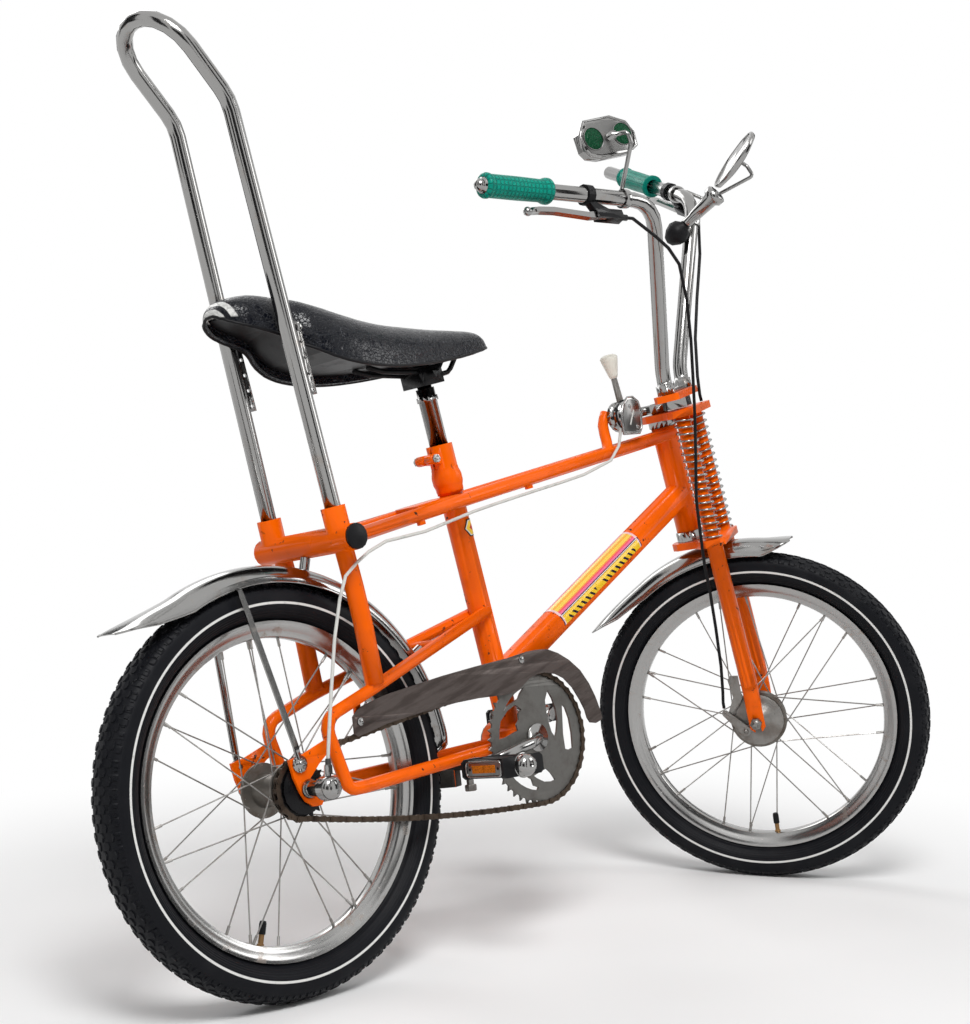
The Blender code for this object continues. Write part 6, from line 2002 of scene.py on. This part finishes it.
CARRIED: dict[str, tuple[Finish, Body]] = {
    "main_frame": (ORANGE, Body.FRAME),
    "fork": (ORANGE, Body.STEERING),
    "fork_upper_plate": (ORANGE, Body.STEERING),
    "bar_plate": (ORANGE, Body.STEERING),
    "headset_cup_upper": (CHROME, Body.FRAME),
    "headset_cup_lower": (CHROME, Body.FRAME),
    "bb_cup_right": (GREY_STEEL, Body.FRAME),
    "bb_cup_left": (GREY_STEEL, Body.FRAME),
    "seat_post": (CHROME, Body.FRAME),
    "seat_post_bolt": (CHROME, Body.FRAME),
    "saddle_clamp": (BLACK_ENAMEL, Body.FRAME),
    "seat_pan": (BLACK_PLASTIC, Body.FRAME),
    "seat_bolt_right": (CHROME, Body.FRAME),
    "seat_bolt_left": (CHROME, Body.FRAME),
    "sissy_bar": (CHROME, Body.FRAME),
    "tube_plug": (BLACK_PLASTIC, Body.FRAME),
    "fender_stay_right": (CHROME, Body.FRAME),
    "fender_stay_left": (CHROME, Body.FRAME),
    "shifter_housing": (CHROME, Body.FRAME),
    "shift_cable": (WHITE_PLASTIC, Body.FRAME),
    "shift_box": (CHROME, Body.FRAME),
    "rear_axle": (GREY_STEEL, Body.FRAME),
    "shift_lever": (GREY_STEEL, Body.GEAR_LEVER),
    "shift_knob": (CREAM_PLASTIC, Body.GEAR_LEVER),
    "kickstand_leg": (GREY_STEEL, Body.STAND),
    "rear_sprocket": (BLACK_ENAMEL, Body.SPROCKET),
    "chainring": (RING_STEEL, Body.CRANK),
    "crank": (CHROME, Body.CRANK),
    "pedal_right": (BLACK_RUBBER, Body.PEDAL_RIGHT),
    "pedal_left": (BLACK_RUBBER, Body.PEDAL_LEFT),
    "front_axle": (GREY_STEEL, Body.STEERING),
    "brake_plate": (GREY_STEEL, Body.STEERING),
    "brake_arm": (GREY_STEEL, Body.BRAKE_ARM),
    "bar_clamp": (CHROME, Body.STEERING),
    "handlebar": (CHROME, Body.STEERING),
    "brake_bracket_right": (BLACK_ENAMEL, Body.STEERING),
    "brake_bracket_left": (BLACK_ENAMEL, Body.STEERING),
    "brake_lever_right": (CHROME, Body.LEVER_RIGHT),
    "brake_lever_left": (CHROME, Body.LEVER_LEFT),
    "front_brake_cable": (BLACK_PLASTIC, Body.STEERING),
    "second_brake_cable": (BLACK_PLASTIC, Body.STEERING),
    "mirror_octagon": (CHROME, Body.MIRROR_OCTAGON),
    "mirror_oval": (CHROME, Body.MIRROR_OVAL),
    "horn_trumpet": (CHROME, Body.STEERING),
    "horn_bulb": (BLACK_RUBBER, Body.STEERING),
}


def main() -> None:
    """Builds every sub-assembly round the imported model."""
    logging.basicConfig(level=logging.INFO, format="%(message)s")
    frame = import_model()
    frames = Frames.read(frame["joints"])
    for name, (finish, body) in CARRIED.items():
        Bench.carry_over(frame["nodes"][name], finish, body)
    guard = Steel("guard_steel", "brown_steel", (0.135, 0.112, 0.103), (0.048, 0.036, 0.032), 0.85, 0.34,
                  frames.bike)
    Bench.carry_over(frame["nodes"]["chain_guard"], guard, Body.FRAME)
    Wheel("rear", Body.REAR_WHEEL, frames.bike,
          [(0, -41), (15, -40), (16, -34), (34, -31.5), (34.5, -29.5), (34, -27.5), (20, -25), (19, 12),
           (22, 25), (34, 27.5), (34.5, 29.5), (34, 31.5), (16, 34), (14, 50), (0, 50)],
          ((-29.5, 31), (29.5, 31)), -105.4).build()
    Wheel("front", Body.FRONT_WHEEL, frames.front_wheel,
          [(0, -33), (43, -33), (43.5, -30), (43, -27.5), (40, -26), (40, -8), (16, -4), (13, 25), (25, 27.5),
           (25.5, 29.5), (25, 31.5), (12, 33), (11, 42), (0, 42)],
          ((-29.5, 40), (29.5, 22)), -96.0).build()
    reach = math.hypot(84.7, 299.2) - 17.3
    Fender("rear_fender", Body.FRAME, frames.bike, start=4, stop=137, flare_from=117, flare_lift=28.0,
           flare_flat=0.55, posts=((74.2, 276.0, reach), (30.93, 276.0, math.hypot(262, 157) - 6.3))).build()
    Fender("front_fender", Body.STEERING, frames.front_wheel, start=67, stop=141, flare_from=120,
           flare_lift=14.0, flare_flat=0.4, posts=((90, 276.0, 278.6),), nose=7.0).build()
    Saddle(frames.bike).build()
    Drive(frames.bike).build()
    Pedal("pedal_right", Body.PEDAL_RIGHT, frames.at_joint("pedal_right_spin", frames.bike), -1).build()
    Pedal("pedal_left", Body.PEDAL_LEFT, frames.at_joint("pedal_left_spin", frames.bike), 1).build()
    Bars(frames.steering).build(frames)
    ForkSprings(frames.steering).build()
    Trim(frames.bike).build()
    Studio(frames.bike).build()


if __name__ == "__main__":
    main()
